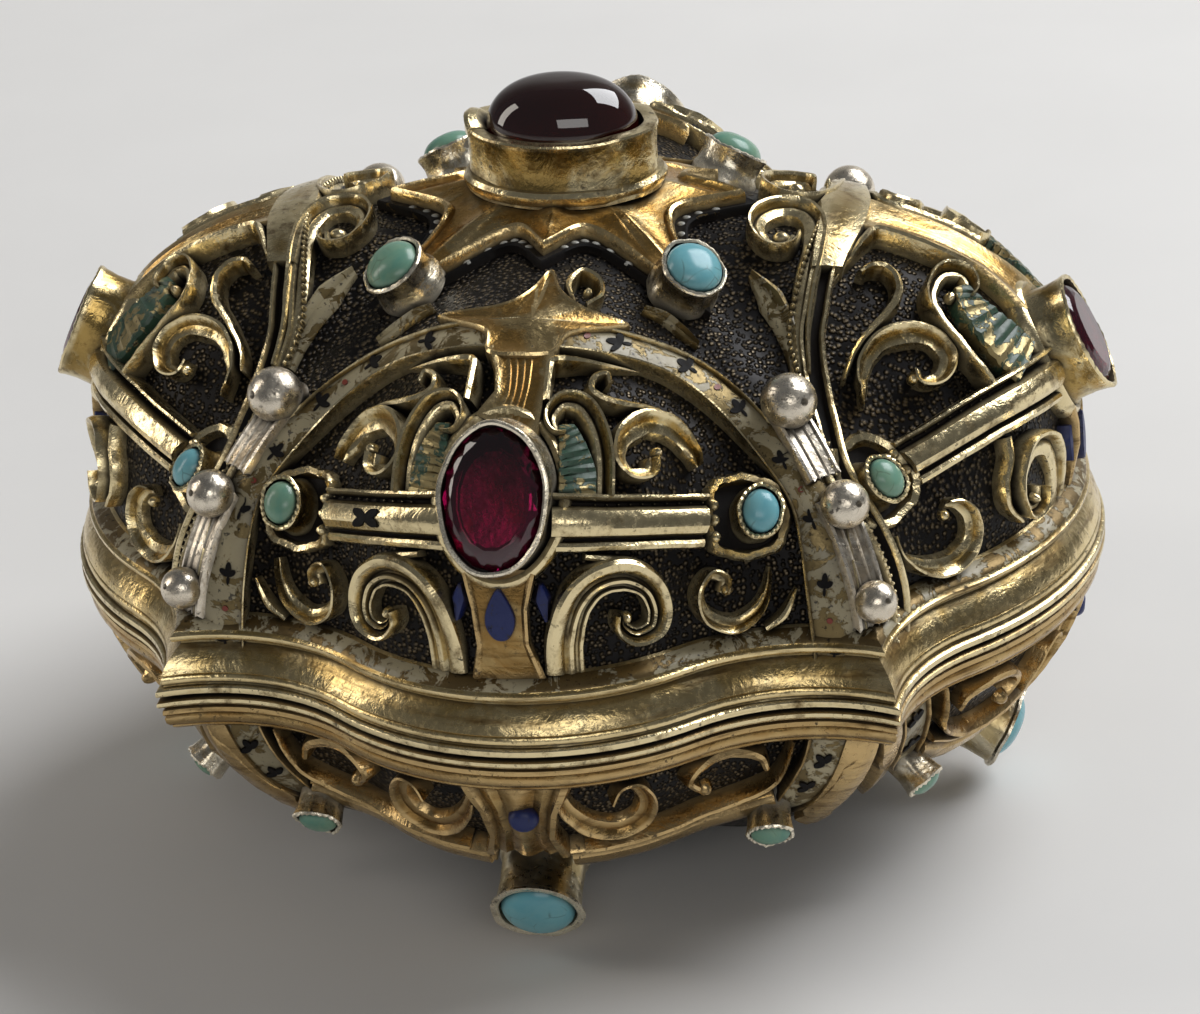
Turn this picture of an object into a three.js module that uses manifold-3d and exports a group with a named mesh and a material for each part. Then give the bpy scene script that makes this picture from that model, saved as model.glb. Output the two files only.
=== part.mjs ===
// Jewelled casket: a four-lobed silver-gilt box with a hinged domed lid.
// Units are millimetres, +Z is up, the front lobe faces -Y.
// The origin is the centre of the underside of the foot.

import * as THREE from 'three';
import * as BufferGeometryUtils from 'three/addons/utils/BufferGeometryUtils.js';
import Module from 'manifold-3d';

const wasm = await Module();
wasm.setup();

// Clearances and the main heights
const GAP = 0.3;
const SEAM_GAP = 0.3;
const SEAM_HEIGHT = 19.6;
const FOOT_HEIGHT = 1.0;
const FOOT_RADIUS = 11;
const WALL = 1.0;

// Plan outline of the lips at the seam: a crest arc and two hollow arcs for each lobe.
// The valley of a hollow lies behind the lobe's reach and at a distance to the side.
const FRONT_LOBE = { reach: 34.7, crest: 18, valleyBehind: 7.95, valleySide: 20.5 };
const SIDE_LOBE = { reach: 37.0, crest: 24, valleyBehind: 11.7, valleySide: 27.0 };

// Ground walls of the lid and the base, inside the lips
const GROUND_INSET = 2.6;
const CORNER_CUT = 1.03;

// Lid dome above its spring line
const LID_SPRING = 4.5;
const LID_RISE = 20.5;
const LID_FULLNESS_LOBE = 3.0;
const LID_FULLNESS_CORNER = 1.75;

// Base bowl below its spring line
const BASE_SPRING = 3.0;
const BASE_DROP = 18.5;
const BASE_FULLNESS = 1.65;

// Mouldings along the seam
const LIP_THICKNESS = 0.75;
const LID_RIM_HEIGHT = 5.3;
const BASE_RIM_HEIGHT = 3.15;
const LEDGE_PROUD = 1.45;
const FLANGE_CLEARANCE = 0.4;
const FLANGE_THICKNESS = 0.8;
const FLANGE_RISE = 2.0;

// Strapwork on the lid panels
const PANEL_TILT = 25;
const BAND_WIDTH = 2.3;
const BAND_RISE = 1.2;
const BAR_WIDTH = 3.3;
const BAR_RISE = 1.3;
const STEM_WIDTH = 3.2;
const FOOT_STEM_WIDTH = 2.6;
const BAR_UP = -1.2;
const BAR_END_RISE = 0.5;
const SEAT_RING_WIDTH = 0.9;
const SEAT_RING_RISE = 0.9;
const STRAP_LAP = 0.7;
const SCROLL_WIDTH = 1.1;
const SCROLL_RISE = 1.4;
const RIB_WIDTH = 2.4;
const RIB_RISE = 1.2;

// Silver beads on each corner rib, from the top down: radius, distance out from the ground, height
const BEADS = [
  { radius: 1.9, stand: 3.87, up: 18.6 },
  { radius: 1.65, stand: 2.85, up: 13.1 },
  { radius: 1.45, stand: 2.06, up: 7.0 },
];

// Stones and collets
const COLLET_WALL = 0.3;
const GARNET = { halfWidth: 3.4, halfHeight: 4.75, thickness: 1.5, table: 0.62 };
const SIDE_GARNET = { halfWidth: 3.0, halfHeight: 3.95, thickness: 1.5, table: 0.62 };
const GARNET_UP = 16.7;
const GARNET_COLLET_HEIGHT = 3.0;
const GARNET_SEAT_DEPTH = 1.3;
const CROWN_GARNET = { halfWidth: 5.3, halfDepth: 3.9, girdle: 1.4, dome: 3.0 };
const CROWN_COLLET_HEIGHT = 3.9;
const CROWN_COLLET_WALL = 1.1;
const CROWN_SEAT_DEPTH = 1.5;
const CROWN_TURQUOISE = { radius: 1.9, dome: 1.1 };
const CROWN_TURQUOISE_COLLET = 1.9;
const CROWN_TURQUOISE_REACH = 13.4;
const CROWN_TURQUOISE_TILT = 15;
const BAR_TURQUOISE = { radius: 1.2, dome: 0.9 };
const BAR_TURQUOISE_COLLET = 2.3;
const BAR_TURQUOISE_UP = -0.4;
const BASE_TURQUOISE = { radius: 2.7, dome: 1.3 };
const BASE_TURQUOISE_COLLET = 4.2;
const BASE_TURQUOISE_DOWN = 13.3;
const BASE_SMALL_TURQUOISE = { radius: 1.2, dome: 0.8 };
const BASE_SMALL_COLLET = 2.9;
const BASE_SMALL_SIDE = 15.4;
const BASE_SMALL_UP = 2.6;

// Crown mount: a star plate with four long legs and four short points
const CROWN_LEG = 15.0;
const CROWN_POINT_FRONT = 9.9;
const CROWN_POINT_SIDE = 12.5;
const CROWN_HOLLOW = 5.0;
const CROWN_MOUNT_RISE = 1.3;
const CROWN_MOUNT_SWELL = 0.5;

// Strapwork on the base panels
const BASE_TILT = -28;
const BASE_STRAP_WIDTH = 2.0;
const BASE_STRAP_RISE = 1.2;
const BASE_BAND_WIDTH = 2.6;
const BASE_BAND_SIDE = 19.7;
const BASE_STEM_WIDTH = 5.0;

// Hinge behind the back lobe
const KNUCKLE_RADIUS = 1.6;
const KNUCKLES = 5;
const KNUCKLE_LENGTH = 2.6;
const PIN_RADIUS = 0.7;
const LEAF_THICKNESS = 1.2;
const LEAF_HEIGHT = 3.6;

// Facet counts
const CREST_STEPS_FRONT = 6;
const CREST_STEPS_SIDE = 7;
const HOLLOW_STEPS = 2;
const SMALL_FACETS = 8;
const OVAL_FACETS = 16;

const GILT = { color: 0xa88a4e, roughness: 0.38, metalness: 1.0 };
const SILVER = { color: 0xb9b3a6, roughness: 0.33, metalness: 1.0 };
const GROUND = { color: 0x2b2622, roughness: 0.7, metalness: 0.6 };
const ENAMEL = { color: 0xbfb190, roughness: 0.45, metalness: 0.1 };
const GARNET_RED = { color: 0x4a0a1c, roughness: 0.08, metalness: 0.0 };
const TURQUOISE_BLUE = { color: 0x5fb0b4, roughness: 0.35, metalness: 0.0 };

// Two lid panels face the front and the back, two face the sides and carry a smaller and lower garnet.
// Apex and shoulder shape the arch band; the bars droop towards the garnet.
// Scroll paths run sideways and up from the panel's origin, for its right half. They are drawn for a bar that
// ends at barEnd, and spread with the bar between its stone and the garnet's collet.
const FRONT_PANEL = {
  barEnd: 15.7,
  garnet: GARNET,
  garnetUp: 0,
  barDroop: 0,
  apexUp: 10.9,
  shoulder: 0.97,
  scrolls: {
    foot_volute: [[4.4, -7.6], [6.0, -5.0], [8.4, -4.7], [10.1, -6.6], [9.2, -8.7], [7.6, -7.9]],
    shoulder_volute: [[6.4, -0.4], [6.1, 4.2], [4.9, 6.0], [3.6, 5.9], [3.3, 4.6]],
    upper_scroll: [[11.6, 3.6], [10.0, 4.9], [8.4, 4.3], [8.1, 2.7], [9.6, 2.5]],
    lower_scroll: [[12.9, -2.0], [12.7, -5.4], [13.5, -7.4], [15.0, -8.0], [16.3, -6.8], [16.6, -5.2]],
  },
};
const SIDE_PANEL = {
  barEnd: 17.6,
  garnet: SIDE_GARNET,
  garnetUp: -2.6,
  barDroop: 1.5,
  apexUp: 12.0,
  shoulder: 0.82,
  scrolls: {
    foot_volute: [[5.0, -9.2], [5.9, -7.3], [7.6, -5.8], [9.6, -5.7], [11.2, -7.2], [10.6, -9.0], [9.5, -8.2]],
    shoulder_volute: [[9.0, -0.8], [8.3, 2.6], [7.0, 5.4], [5.2, 6.4], [3.7, 5.9], [3.5, 4.9]],
    upper_scroll: [[13.8, 2.9], [12.6, 5.0], [10.7, 5.8], [9.3, 4.8], [9.4, 3.1], [10.8, 2.6]],
    leaf_scroll: [[12.4, 4.9], [10.8, 6.2], [9.2, 6.8], [8.0, 7.5], [7.2, 8.2]],
    lower_scroll: [[14.4, -1.8], [14.2, -5.6], [14.9, -7.4], [16.4, -7.9], [17.8, -6.9], [18.3, -5.3]],
  },
};

// Lobes in order round the box, each with its outward and sideways direction
const LOBES = [
  { name: 'front', shape: FRONT_LOBE, next: SIDE_LOBE, face: FRONT_PANEL, out: [0, -1], side: [1, 0] },
  { name: 'right', shape: SIDE_LOBE, next: FRONT_LOBE, face: SIDE_PANEL, out: [1, 0], side: [0, 1] },
  { name: 'back', shape: FRONT_LOBE, next: SIDE_LOBE, face: FRONT_PANEL, out: [0, 1], side: [-1, 0] },
  { name: 'left', shape: SIDE_LOBE, next: FRONT_LOBE, face: SIDE_PANEL, out: [-1, 0], side: [0, -1] },
];
const CORNERS = ['front_right', 'back_right', 'back_left', 'front_left'];

// A lobe's outline moved inwards by a normal distance keeps its arc centres
function insetLobe(lobe, inset) {
  const lift = lobe.crest - lobe.valleyBehind;
  const spread = lobe.valleySide ** 2 + lift ** 2 - lobe.crest ** 2;
  const hollow = spread / (2 * (lobe.crest - lift));
  return {
    reach: lobe.reach - inset,
    crest: lobe.crest - inset,
    valley: lobe.reach - lobe.valleyBehind - inset,
    valleySide: lobe.valleySide,
    hollow: hollow + inset,
  };
}

function tangentSide(lobe) {
  return lobe.valleySide * lobe.crest / (lobe.crest + lobe.hollow);
}

function lobeDepth(lobe, sideways) {
  const side = Math.abs(sideways);
  if (side <= tangentSide(lobe)) {
    return lobe.reach - lobe.crest + Math.sqrt(lobe.crest ** 2 - side ** 2);
  }
  const run = Math.min(Math.abs(side - lobe.valleySide), lobe.hollow);
  return lobe.valley + lobe.hollow - Math.sqrt(lobe.hollow ** 2 - run ** 2);
}

// Where a lobe's outline meets its neighbour, or the flat across the corner
function lobeEdge(lobe, neighbour, cornerReach) {
  let side = neighbour.valley;
  for (let round = 0; round < 30; round += 1) {
    const depth = lobeDepth(lobe, side);
    const meeting = lobeDepth(neighbour, depth);
    side = Math.min(meeting, cornerReach * Math.SQRT2 - depth);
  }
  return side;
}

// Points of one lobe from edge to edge, as sideways and outward distances
function lobeStations(entry, inset, cornerReach) {
  const lobe = insetLobe(entry.shape, inset);
  const edge = lobeEdge(lobe, insetLobe(entry.next, inset), cornerReach);
  const tangent = tangentSide(lobe);
  const crestAngle = Math.asin(tangent / lobe.crest);
  const startAngle = Math.asin((lobe.valleySide - tangent) / lobe.hollow);
  const endAngle = Math.asin((lobe.valleySide - edge) / lobe.hollow);
  const half = [];
  for (let i = 0; i < HOLLOW_STEPS; i += 1) {
    const angle = endAngle + (startAngle - endAngle) * i / HOLLOW_STEPS;
    half.push(lobe.valleySide - lobe.hollow * Math.sin(angle));
  }
  const sides = half.map((side) => -side);
  const steps = entry.shape === FRONT_LOBE ? CREST_STEPS_FRONT : CREST_STEPS_SIDE;
  for (let i = 0; i <= steps; i += 1) {
    sides.push(lobe.crest * Math.sin(crestAngle * (2 * i / steps - 1)));
  }
  sides.push(...half.reverse());
  return sides.map((side) => [side, lobeDepth(lobe, side)]);
}

function toPlan(entry, side, out) {
  const x = entry.side[0] * side + entry.out[0] * out;
  const y = entry.side[1] * side + entry.out[1] * out;
  return new THREE.Vector2(x, y);
}

// Pointed corners share one point, cut corners have two
function planOutline(inset, cornerReach = Infinity) {
  const points = [];
  for (const entry of LOBES) {
    const stations = lobeStations(entry, inset, cornerReach);
    const used = cornerReach === Infinity ? stations.slice(0, -1) : stations;
    for (const [side, out] of used) {
      points.push(toPlan(entry, side, out));
    }
  }
  return points;
}

function insidePlan(x, y, front, sides, cornerReach) {
  const across = Math.abs(x);
  const deep = Math.abs(y);
  return deep < lobeDepth(front, across) && across < lobeDepth(sides, deep)
    && across + deep < cornerReach * Math.SQRT2;
}

// The ground outline, with a flat across each corner a little inside the point
const groundFront = insetLobe(FRONT_LOBE, GROUND_INSET);
const groundSide = insetLobe(SIDE_LOBE, GROUND_INSET);
const cornerPoint = lobeEdge(groundFront, groundSide, Infinity);
const CORNER_REACH = (cornerPoint + lobeDepth(groundFront, cornerPoint)) / Math.SQRT2 - CORNER_CUT;

// Distance from the axis to the ground outline at an angle
function groundReach(angle) {
  let near = 0;
  let far = SIDE_LOBE.reach + FRONT_LOBE.reach;
  for (let round = 0; round < 26; round += 1) {
    const middle = (near + far) / 2;
    const x = middle * Math.cos(angle);
    const y = middle * Math.sin(angle);
    if (insidePlan(x, y, groundFront, groundSide, CORNER_REACH)) {
      near = middle;
    } else {
      far = middle;
    }
  }
  return near;
}

// Signed measure of a point against a ground surface: negative inside
function lidMeasure(point) {
  const angle = Math.atan2(point.y, point.x);
  const fullness = lidFullness(angle);
  const up = Math.max(point.z - SEAM_HEIGHT - LID_SPRING, 0) / LID_RISE;
  return (Math.hypot(point.x, point.y) / groundReach(angle)) ** fullness + up ** fullness - 1;
}

function lidFullness(angle) {
  return LID_FULLNESS_CORNER + (LID_FULLNESS_LOBE - LID_FULLNESS_CORNER) * Math.cos(2 * angle) ** 2;
}

function baseMeasure(point) {
  const angle = Math.atan2(point.y, point.x);
  const down = Math.max(SEAM_HEIGHT - BASE_SPRING - point.z, 0) / BASE_DROP;
  const spread = (Math.hypot(point.x, point.y) / groundReach(angle)) ** BASE_FULLNESS;
  return spread + down ** BASE_FULLNESS - 1;
}

// The point of a ground surface on a line, and the surface normal there
function hitGround(measure, inside, direction, length) {
  let near = 0;
  let far = length;
  for (let round = 0; round < 30; round += 1) {
    const middle = (near + far) / 2;
    if (measure(inside.clone().addScaledVector(direction, middle)) < 0) {
      near = middle;
    } else {
      far = middle;
    }
  }
  const point = inside.clone().addScaledVector(direction, near);
  const probe = 0.05;
  const here = measure(point);
  const normal = new THREE.Vector3(
    measure(point.clone().add(new THREE.Vector3(probe, 0, 0))) - here,
    measure(point.clone().add(new THREE.Vector3(0, probe, 0))) - here,
    measure(point.clone().add(new THREE.Vector3(0, 0, probe))) - here,
  ).normalize();
  return { point, normal };
}

// A panel is drawn as seen along its own axis: sideways and up from the seat of its middle stone
function makePanel(entry, measure, tilt, seatHeight) {
  const out = new THREE.Vector3(entry.out[0], entry.out[1], 0);
  const side = new THREE.Vector3(entry.side[0], entry.side[1], 0);
  const angle = THREE.MathUtils.degToRad(tilt);
  const vertical = new THREE.Vector3(0, 0, 1);
  const axis = out.clone().multiplyScalar(Math.cos(angle)).addScaledVector(vertical, Math.sin(angle));
  const up = out.clone().multiplyScalar(-Math.sin(angle)).addScaledVector(vertical, Math.cos(angle));
  const seat = hitGround(measure, new THREE.Vector3(0, 0, seatHeight), out, entry.shape.reach).point;
  const back = seat.dot(out) / Math.cos(angle);
  const panel = { entry, measure, axis, side, out, up, seat, back };
  panel.ground = (sideways, upward) => {
    const start = seat.clone().addScaledVector(side, sideways).addScaledVector(up, upward);
    const depth = back - upward * Math.tan(angle);
    return hitGround(measure, start.addScaledVector(axis, -depth), axis, 2 * back);
  };
  panel.spot = (sideways, upward, lift) => {
    const { point, normal } = panel.ground(sideways, upward);
    return point.addScaledVector(normal, lift);
  };
  return panel;
}

const lidPanels = LOBES.map((entry) => makePanel(entry, lidMeasure, PANEL_TILT, SEAM_HEIGHT + GARNET_UP));
const basePanels = LOBES.map(
  (entry) => makePanel(entry, baseMeasure, BASE_TILT, SEAM_HEIGHT - BASE_TURQUOISE_DOWN),
);

// Closed solid through rings of points; the ends are capped, or joined in a loop.
// A section, given as plane points, is capped flat; other rings get a middle point.
function skin(rings, loop = false, section = null) {
  const count = rings[0].length;
  const positions = rings.flat().flatMap((point) => [point.x, point.y, point.z]);
  const faces = [];
  const bands = loop ? rings.length : rings.length - 1;
  for (let i = 0; i < bands; i += 1) {
    const low = i * count;
    const high = ((i + 1) % rings.length) * count;
    for (let j = 0; j < count; j += 1) {
      const k = (j + 1) % count;
      faces.push(low + j, low + k, high + k, low + j, high + k, high + j);
    }
  }
  const last = (rings.length - 1) * count;
  if (section) {
    const outline = section.map(([across, lift]) => new THREE.Vector2(across, lift));
    for (const [a, b, c] of THREE.ShapeUtils.triangulateShape(outline, [])) {
      faces.push(c, b, a, last + a, last + b, last + c);
    }
  } else if (!loop) {
    addCap(rings[0], 0, positions, faces, true);
    addCap(rings[rings.length - 1], last, positions, faces, false);
  }
  const geometry = new THREE.BufferGeometry();
  geometry.setAttribute('position', new THREE.Float32BufferAttribute(positions, 3));
  geometry.setIndex(faces);
  return faceOutwards(geometry);
}

function addCap(ring, first, positions, faces, reversed) {
  const centre = new THREE.Vector3();
  ring.forEach((point) => centre.addScaledVector(point, 1 / ring.length));
  const hub = positions.length / 3;
  positions.push(centre.x, centre.y, centre.z);
  for (let j = 0; j < ring.length; j += 1) {
    const k = (j + 1) % ring.length;
    if (reversed) {
      faces.push(hub, first + k, first + j);
    } else {
      faces.push(hub, first + j, first + k);
    }
  }
}

function signedVolume(geometry) {
  const position = geometry.attributes.position;
  const index = geometry.index.array;
  const [a, b, c] = [new THREE.Vector3(), new THREE.Vector3(), new THREE.Vector3()];
  let volume = 0;
  for (let i = 0; i < index.length; i += 3) {
    a.fromBufferAttribute(position, index[i]);
    b.fromBufferAttribute(position, index[i + 1]);
    c.fromBufferAttribute(position, index[i + 2]);
    volume += a.dot(b.cross(c)) / 6;
  }
  return volume;
}

function faceOutwards(geometry) {
  if (signedVolume(geometry) < 0) {
    geometry.index.array.reverse();
  }
  return geometry;
}

// Boolean join and cut
function toManifold(geometry) {
  const plain = geometry.clone();
  plain.deleteAttribute('normal');
  plain.deleteAttribute('uv');
  const merged = BufferGeometryUtils.mergeVertices(plain, 1e-4);
  const mesh = new wasm.Mesh({
    numProp: 3,
    vertProperties: merged.attributes.position.array,
    triVerts: Uint32Array.from(merged.index.array),
  });
  return new wasm.Manifold(mesh);
}

function fromManifold(solid) {
  const mesh = solid.getMesh();
  const geometry = new THREE.BufferGeometry();
  geometry.setAttribute('position', new THREE.Float32BufferAttribute(mesh.vertProperties, 3));
  geometry.setIndex(Array.from(mesh.triVerts));
  return geometry;
}

function fuse(geometries) {
  return fromManifold(geometries.map(toManifold).reduce((whole, piece) => whole.add(piece)));
}

function cut(geometry, cutters) {
  const whole = toManifold(geometry);
  return fromManifold(cutters.map(toManifold).reduce((rest, piece) => rest.subtract(piece), whole));
}

// Mouldings follow the outline: each profile point is an inset and a height over the seam
function moulding(profile, cutCorner = false) {
  const loops = profile.map(([inset, up]) => {
    const cornerReach = cutCorner ? CORNER_REACH + GROUND_INSET - inset : Infinity;
    return planOutline(inset, cornerReach).map(
      (point) => new THREE.Vector3(point.x, point.y, SEAM_HEIGHT + up),
    );
  });
  return skin(loops, true);
}

function lidRimGeometry() {
  const inner = GROUND_INSET - GAP;
  const ledge = GROUND_INSET - LEDGE_PROUD;
  const low = SEAM_GAP / 2;
  return moulding([
    [inner, low],
    [0, low],
    [0, low + LIP_THICKNESS],
    [0.45, 1.5],
    [1.5, 3.3],
    [ledge, 3.8],
    [ledge + 0.1, LID_RIM_HEIGHT],
    [inner, LID_RIM_HEIGHT],
  ]);
}

function baseRimGeometry() {
  const inner = GROUND_INSET - GAP;
  const high = -SEAM_GAP / 2;
  return moulding([
    [inner, high],
    [0, high],
    [0, high - LIP_THICKNESS],
    [0.5, -1.1],
    [0.4, -2.2],
    [1.2, -BASE_RIM_HEIGHT],
    [inner, -BASE_RIM_HEIGHT],
  ]);
}

function flangeGeometry() {
  const outer = GROUND_INSET + WALL + FLANGE_CLEARANCE;
  const inner = outer + FLANGE_THICKNESS;
  return moulding([
    [outer, -BASE_SPRING],
    [outer, FLANGE_RISE],
    [inner, FLANGE_RISE],
    [inner, -BASE_SPRING],
  ], true);
}

// Ground shells are ring lofts: the outline shrinks along a fuller or slacker curve
function groundRing(inset, cornerReach, shrink, height) {
  return planOutline(inset, cornerReach).map((point) => {
    const scale = shrink(Math.atan2(point.y, point.x));
    return new THREE.Vector3(point.x * scale, point.y * scale, height);
  });
}

function lidRing(wall, share) {
  const rise = (LID_RISE - wall) * share;
  const shrink = (angle) => (1 - share ** lidFullness(angle)) ** (1 / lidFullness(angle));
  return groundRing(GROUND_INSET + wall, CORNER_REACH - wall, shrink, SEAM_HEIGHT + LID_SPRING + rise);
}

function lidShellGeometry() {
  const shares = [0, 0.3, 0.58, 0.8, 0.94];
  const innerShares = [0, 0.5, 0.9];
  const foot = SEAM_HEIGHT + SEAM_GAP / 2;
  const still = () => 1;
  const inside = innerShares.map((share) => lidRing(WALL, share)).reverse();
  const outside = shares.map((share) => lidRing(0, share));
  const innerFoot = groundRing(GROUND_INSET + WALL, CORNER_REACH - WALL, still, foot);
  const outerFoot = groundRing(GROUND_INSET, CORNER_REACH, still, foot);
  return skin([...inside, innerFoot, outerFoot, ...outside]);
}

function baseRing(wall, depth) {
  const share = Math.min(depth / (BASE_DROP - wall), 0.995);
  const shrink = () => (1 - share ** BASE_FULLNESS) ** (1 / BASE_FULLNESS);
  const height = SEAM_HEIGHT - BASE_SPRING - depth;
  return groundRing(GROUND_INSET + wall, CORNER_REACH - wall, shrink, height);
}

function baseShellGeometry() {
  const depth = SEAM_HEIGHT - BASE_SPRING - FOOT_HEIGHT - GAP;
  const outside = [0, 0.25, 0.5, 0.75, 1].map((share) => baseRing(0, depth * share));
  const inside = [0, 0.5, 1].map((share) => baseRing(WALL, (depth - WALL) * share));
  const high = SEAM_HEIGHT - SEAM_GAP / 2;
  const still = () => 1;
  const innerTop = groundRing(GROUND_INSET + WALL, CORNER_REACH - WALL, still, high);
  const outerTop = groundRing(GROUND_INSET, CORNER_REACH, still, high);
  return skin([...inside.reverse(), innerTop, outerTop, ...outside]);
}

function footGeometry() {
  const chamfer = 0.3;
  const profile = [
    new THREE.Vector2(0, 0),
    new THREE.Vector2(FOOT_RADIUS - chamfer, 0),
    new THREE.Vector2(FOOT_RADIUS, chamfer),
    new THREE.Vector2(FOOT_RADIUS, FOOT_HEIGHT),
    new THREE.Vector2(0, FOOT_HEIGHT),
  ];
  return new THREE.LatheGeometry(profile, 24).rotateX(Math.PI / 2);
}

// Straps lie on a panel: a section of sideways shares and heights runs along a path
function strap(panel, path, width, section) {
  const rings = path.map((point, i) => {
    const before = path[Math.max(i - 1, 0)];
    const after = path[Math.min(i + 1, path.length - 1)];
    const along = after.clone().sub(before).normalize();
    const across = new THREE.Vector2(-along.y, along.x);
    const ends = [-0.5, 0.5].map((share) => panel.spot(
      point.x + across.x * share * width,
      point.y + across.y * share * width,
      0,
    ));
    const half = width / 2 * width / ends[0].distanceTo(ends[1]);
    return section.map(([share, lift]) => panel.spot(
      point.x + across.x * share * half,
      point.y + across.y * share * half,
      lift,
    ));
  });
  return skin(rings, false, section);
}

function flatSection(bottom, rise) {
  return [[-1, bottom], [1, bottom], [0.9, bottom + rise], [-0.9, bottom + rise]];
}

function groovedSection(bottom, rise) {
  const floor = bottom + rise * 0.6;
  const top = bottom + rise;
  return [[-1, bottom], [1, bottom], [0.85, top], [0.6, floor], [-0.6, floor], [-0.85, top]];
}

function ridgeSection(bottom, rise) {
  return [[-1, bottom], [1, bottom], [0, bottom + rise]];
}

// A smooth path through a few points of a panel, mirrored when sign is -1
function smoothPath(points, steps, sign = 1) {
  const curve = new THREE.SplineCurve(points.map(([side, up]) => new THREE.Vector2(side * sign, up)));
  return curve.getSpacedPoints(steps);
}

// Lower legs of an arch band run beside the corner rib, the upper part is a pointed arch
function bandPath(panel) {
  const shoulder = cornerEdge(panel, 0.66);
  const points = [0.06, 0.25, 0.43].map((share) => cornerEdge(panel, share));
  const { apexUp } = panel.entry.face;
  const low = shoulder.y * panel.entry.face.shoulder;
  points.push(new THREE.Vector2(shoulder.x, low));
  points.push(new THREE.Vector2(shoulder.x * 0.55, low + (apexUp - low) * 0.76));
  points.push(new THREE.Vector2(0, apexUp));
  return new THREE.SplineCurve(points);
}

// Panel place beside the flat of the corner, at a share of the dome's rise
function cornerEdge(panel, share) {
  const shape = insetLobe(panel.entry.shape, GROUND_INSET);
  const edge = lobeEdge(shape, insetLobe(panel.entry.next, GROUND_INSET), CORNER_REACH);
  const way = panel.side.clone().multiplyScalar(edge);
  way.addScaledVector(panel.out, lobeDepth(shape, edge)).normalize();
  const height = SEAM_HEIGHT + LID_RIM_HEIGHT + GAP + (LID_SPRING + LID_RISE - LID_RIM_HEIGHT) * share;
  const { point } = hitGround(lidMeasure, new THREE.Vector3(0, 0, height), way, 2 * SIDE_LOBE.reach);
  const offset = point.sub(panel.seat);
  const beside = BAND_WIDTH / 2 + GAP + 0.1;
  return new THREE.Vector2(offset.dot(panel.side) - beside, offset.dot(panel.up));
}

function archBandGeometry(panel) {
  const half = bandPath(panel).getSpacedPoints(9);
  const other = half.slice(0, -1).reverse().map((point) => new THREE.Vector2(-point.x, point.y));
  return strap(panel, [...half, ...other], BAND_WIDTH, flatSection(1.5 * GAP, BAND_RISE));
}

// Half width of the field inside the arch band at the height of the bars
function fieldHalfWidth(panel) {
  const path = bandPath(panel).getPoints(60);
  const level = path.reduce((best, point) => (
    Math.abs(point.y - BAR_TURQUOISE_UP) < Math.abs(best.y - BAR_TURQUOISE_UP) ? point : best
  ));
  return level.x - BAND_WIDTH / 2 - GAP;
}

// Panel coordinate of a height over the seam at a sideways place
function panelUp(panel, sideways, overSeam) {
  let low = -20;
  let high = 20;
  for (let round = 0; round < 24; round += 1) {
    const middle = (low + high) / 2;
    if (panel.ground(sideways, middle).point.z < SEAM_HEIGHT + overSeam) {
      low = middle;
    } else {
      high = middle;
    }
  }
  return low;
}

// Ovals: rings of a shrinking ellipse along the local z axis
function ovalTurn(profile, halfWidth, halfHeight, facets) {
  const rings = profile.map(([inset, z]) => {
    const ring = [];
    for (let i = 0; i < facets; i += 1) {
      const angle = 2 * Math.PI * i / facets;
      const x = Math.max(halfWidth - inset, 0.05) * Math.cos(angle);
      const y = Math.max(halfHeight - inset, 0.05) * Math.sin(angle);
      ring.push(new THREE.Vector3(x, y, z));
    }
    return ring;
  });
  return skin(rings);
}

function colletGeometry(halfWidth, halfHeight, height, wall, seat, facets) {
  return ovalTurn([
    [0.15, 0],
    [0, height],
    [wall, height],
    [wall, height - seat],
  ], halfWidth, halfHeight, facets);
}

function cabochonGeometry(halfWidth, halfHeight, girdle, dome, facets, rings = 2) {
  const profile = [[0, 0]];
  const least = Math.min(halfWidth, halfHeight);
  for (let i = 0; i < rings; i += 1) {
    const angle = Math.PI / 2 * i / rings;
    profile.push([least * (1 - Math.cos(angle)), girdle + dome * Math.sin(angle)]);
  }
  const rest = ovalTurn(profile, halfWidth, halfHeight, facets);
  return domeTip(rest, girdle + dome);
}

// The last cap's middle point is raised to the top of the dome
function domeTip(geometry, top) {
  const position = geometry.attributes.position;
  position.setZ(position.count - 1, top);
  return geometry;
}

function roundCabochon(stone) {
  return cabochonGeometry(stone.radius, stone.radius, stone.radius * 0.4, stone.dome, SMALL_FACETS);
}

function facetedGeometry(stone, facets) {
  const least = stone.halfWidth;
  return ovalTurn([
    [0.35, 0],
    [0, stone.thickness * 0.35],
    [least * (1 - stone.table) * 0.5, stone.thickness * 0.8],
    [least * (1 - stone.table), stone.thickness],
  ], stone.halfWidth, stone.halfHeight, facets);
}

// A frame on the ground: local z along an axis, local x sideways
function seatMatrix(point, axis, side) {
  const z = axis.clone().normalize();
  const y = z.clone().cross(side).normalize();
  const x = y.clone().cross(z);
  return new THREE.Matrix4().makeBasis(x, y, z).setPosition(point);
}

function stoneSeat(panel, sideways, upward, axisTurn = 0) {
  const { point, normal } = panel.ground(sideways, upward);
  const axis = normal.clone().lerp(panel.axis, axisTurn).normalize();
  return seatMatrix(point.addScaledVector(normal, GAP), axis, panel.side);
}

function seatRing(panel, garnetUp, halfWidth, halfHeight, facets) {
  const inner = GAP + 0.05;
  const outer = inner + SEAT_RING_WIDTH;
  const rings = [];
  for (let i = 0; i < facets; i += 1) {
    const angle = 2 * Math.PI * i / facets;
    const at = (grow, lift) => panel.spot(
      (halfWidth + grow) * Math.cos(angle),
      garnetUp + (halfHeight + grow) * Math.sin(angle),
      lift,
    );
    const top = GAP + SEAT_RING_RISE;
    rings.push([at(inner, GAP), at(outer, GAP), at(outer, top), at(inner, top)]);
  }
  return skin(rings, true);
}

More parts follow.
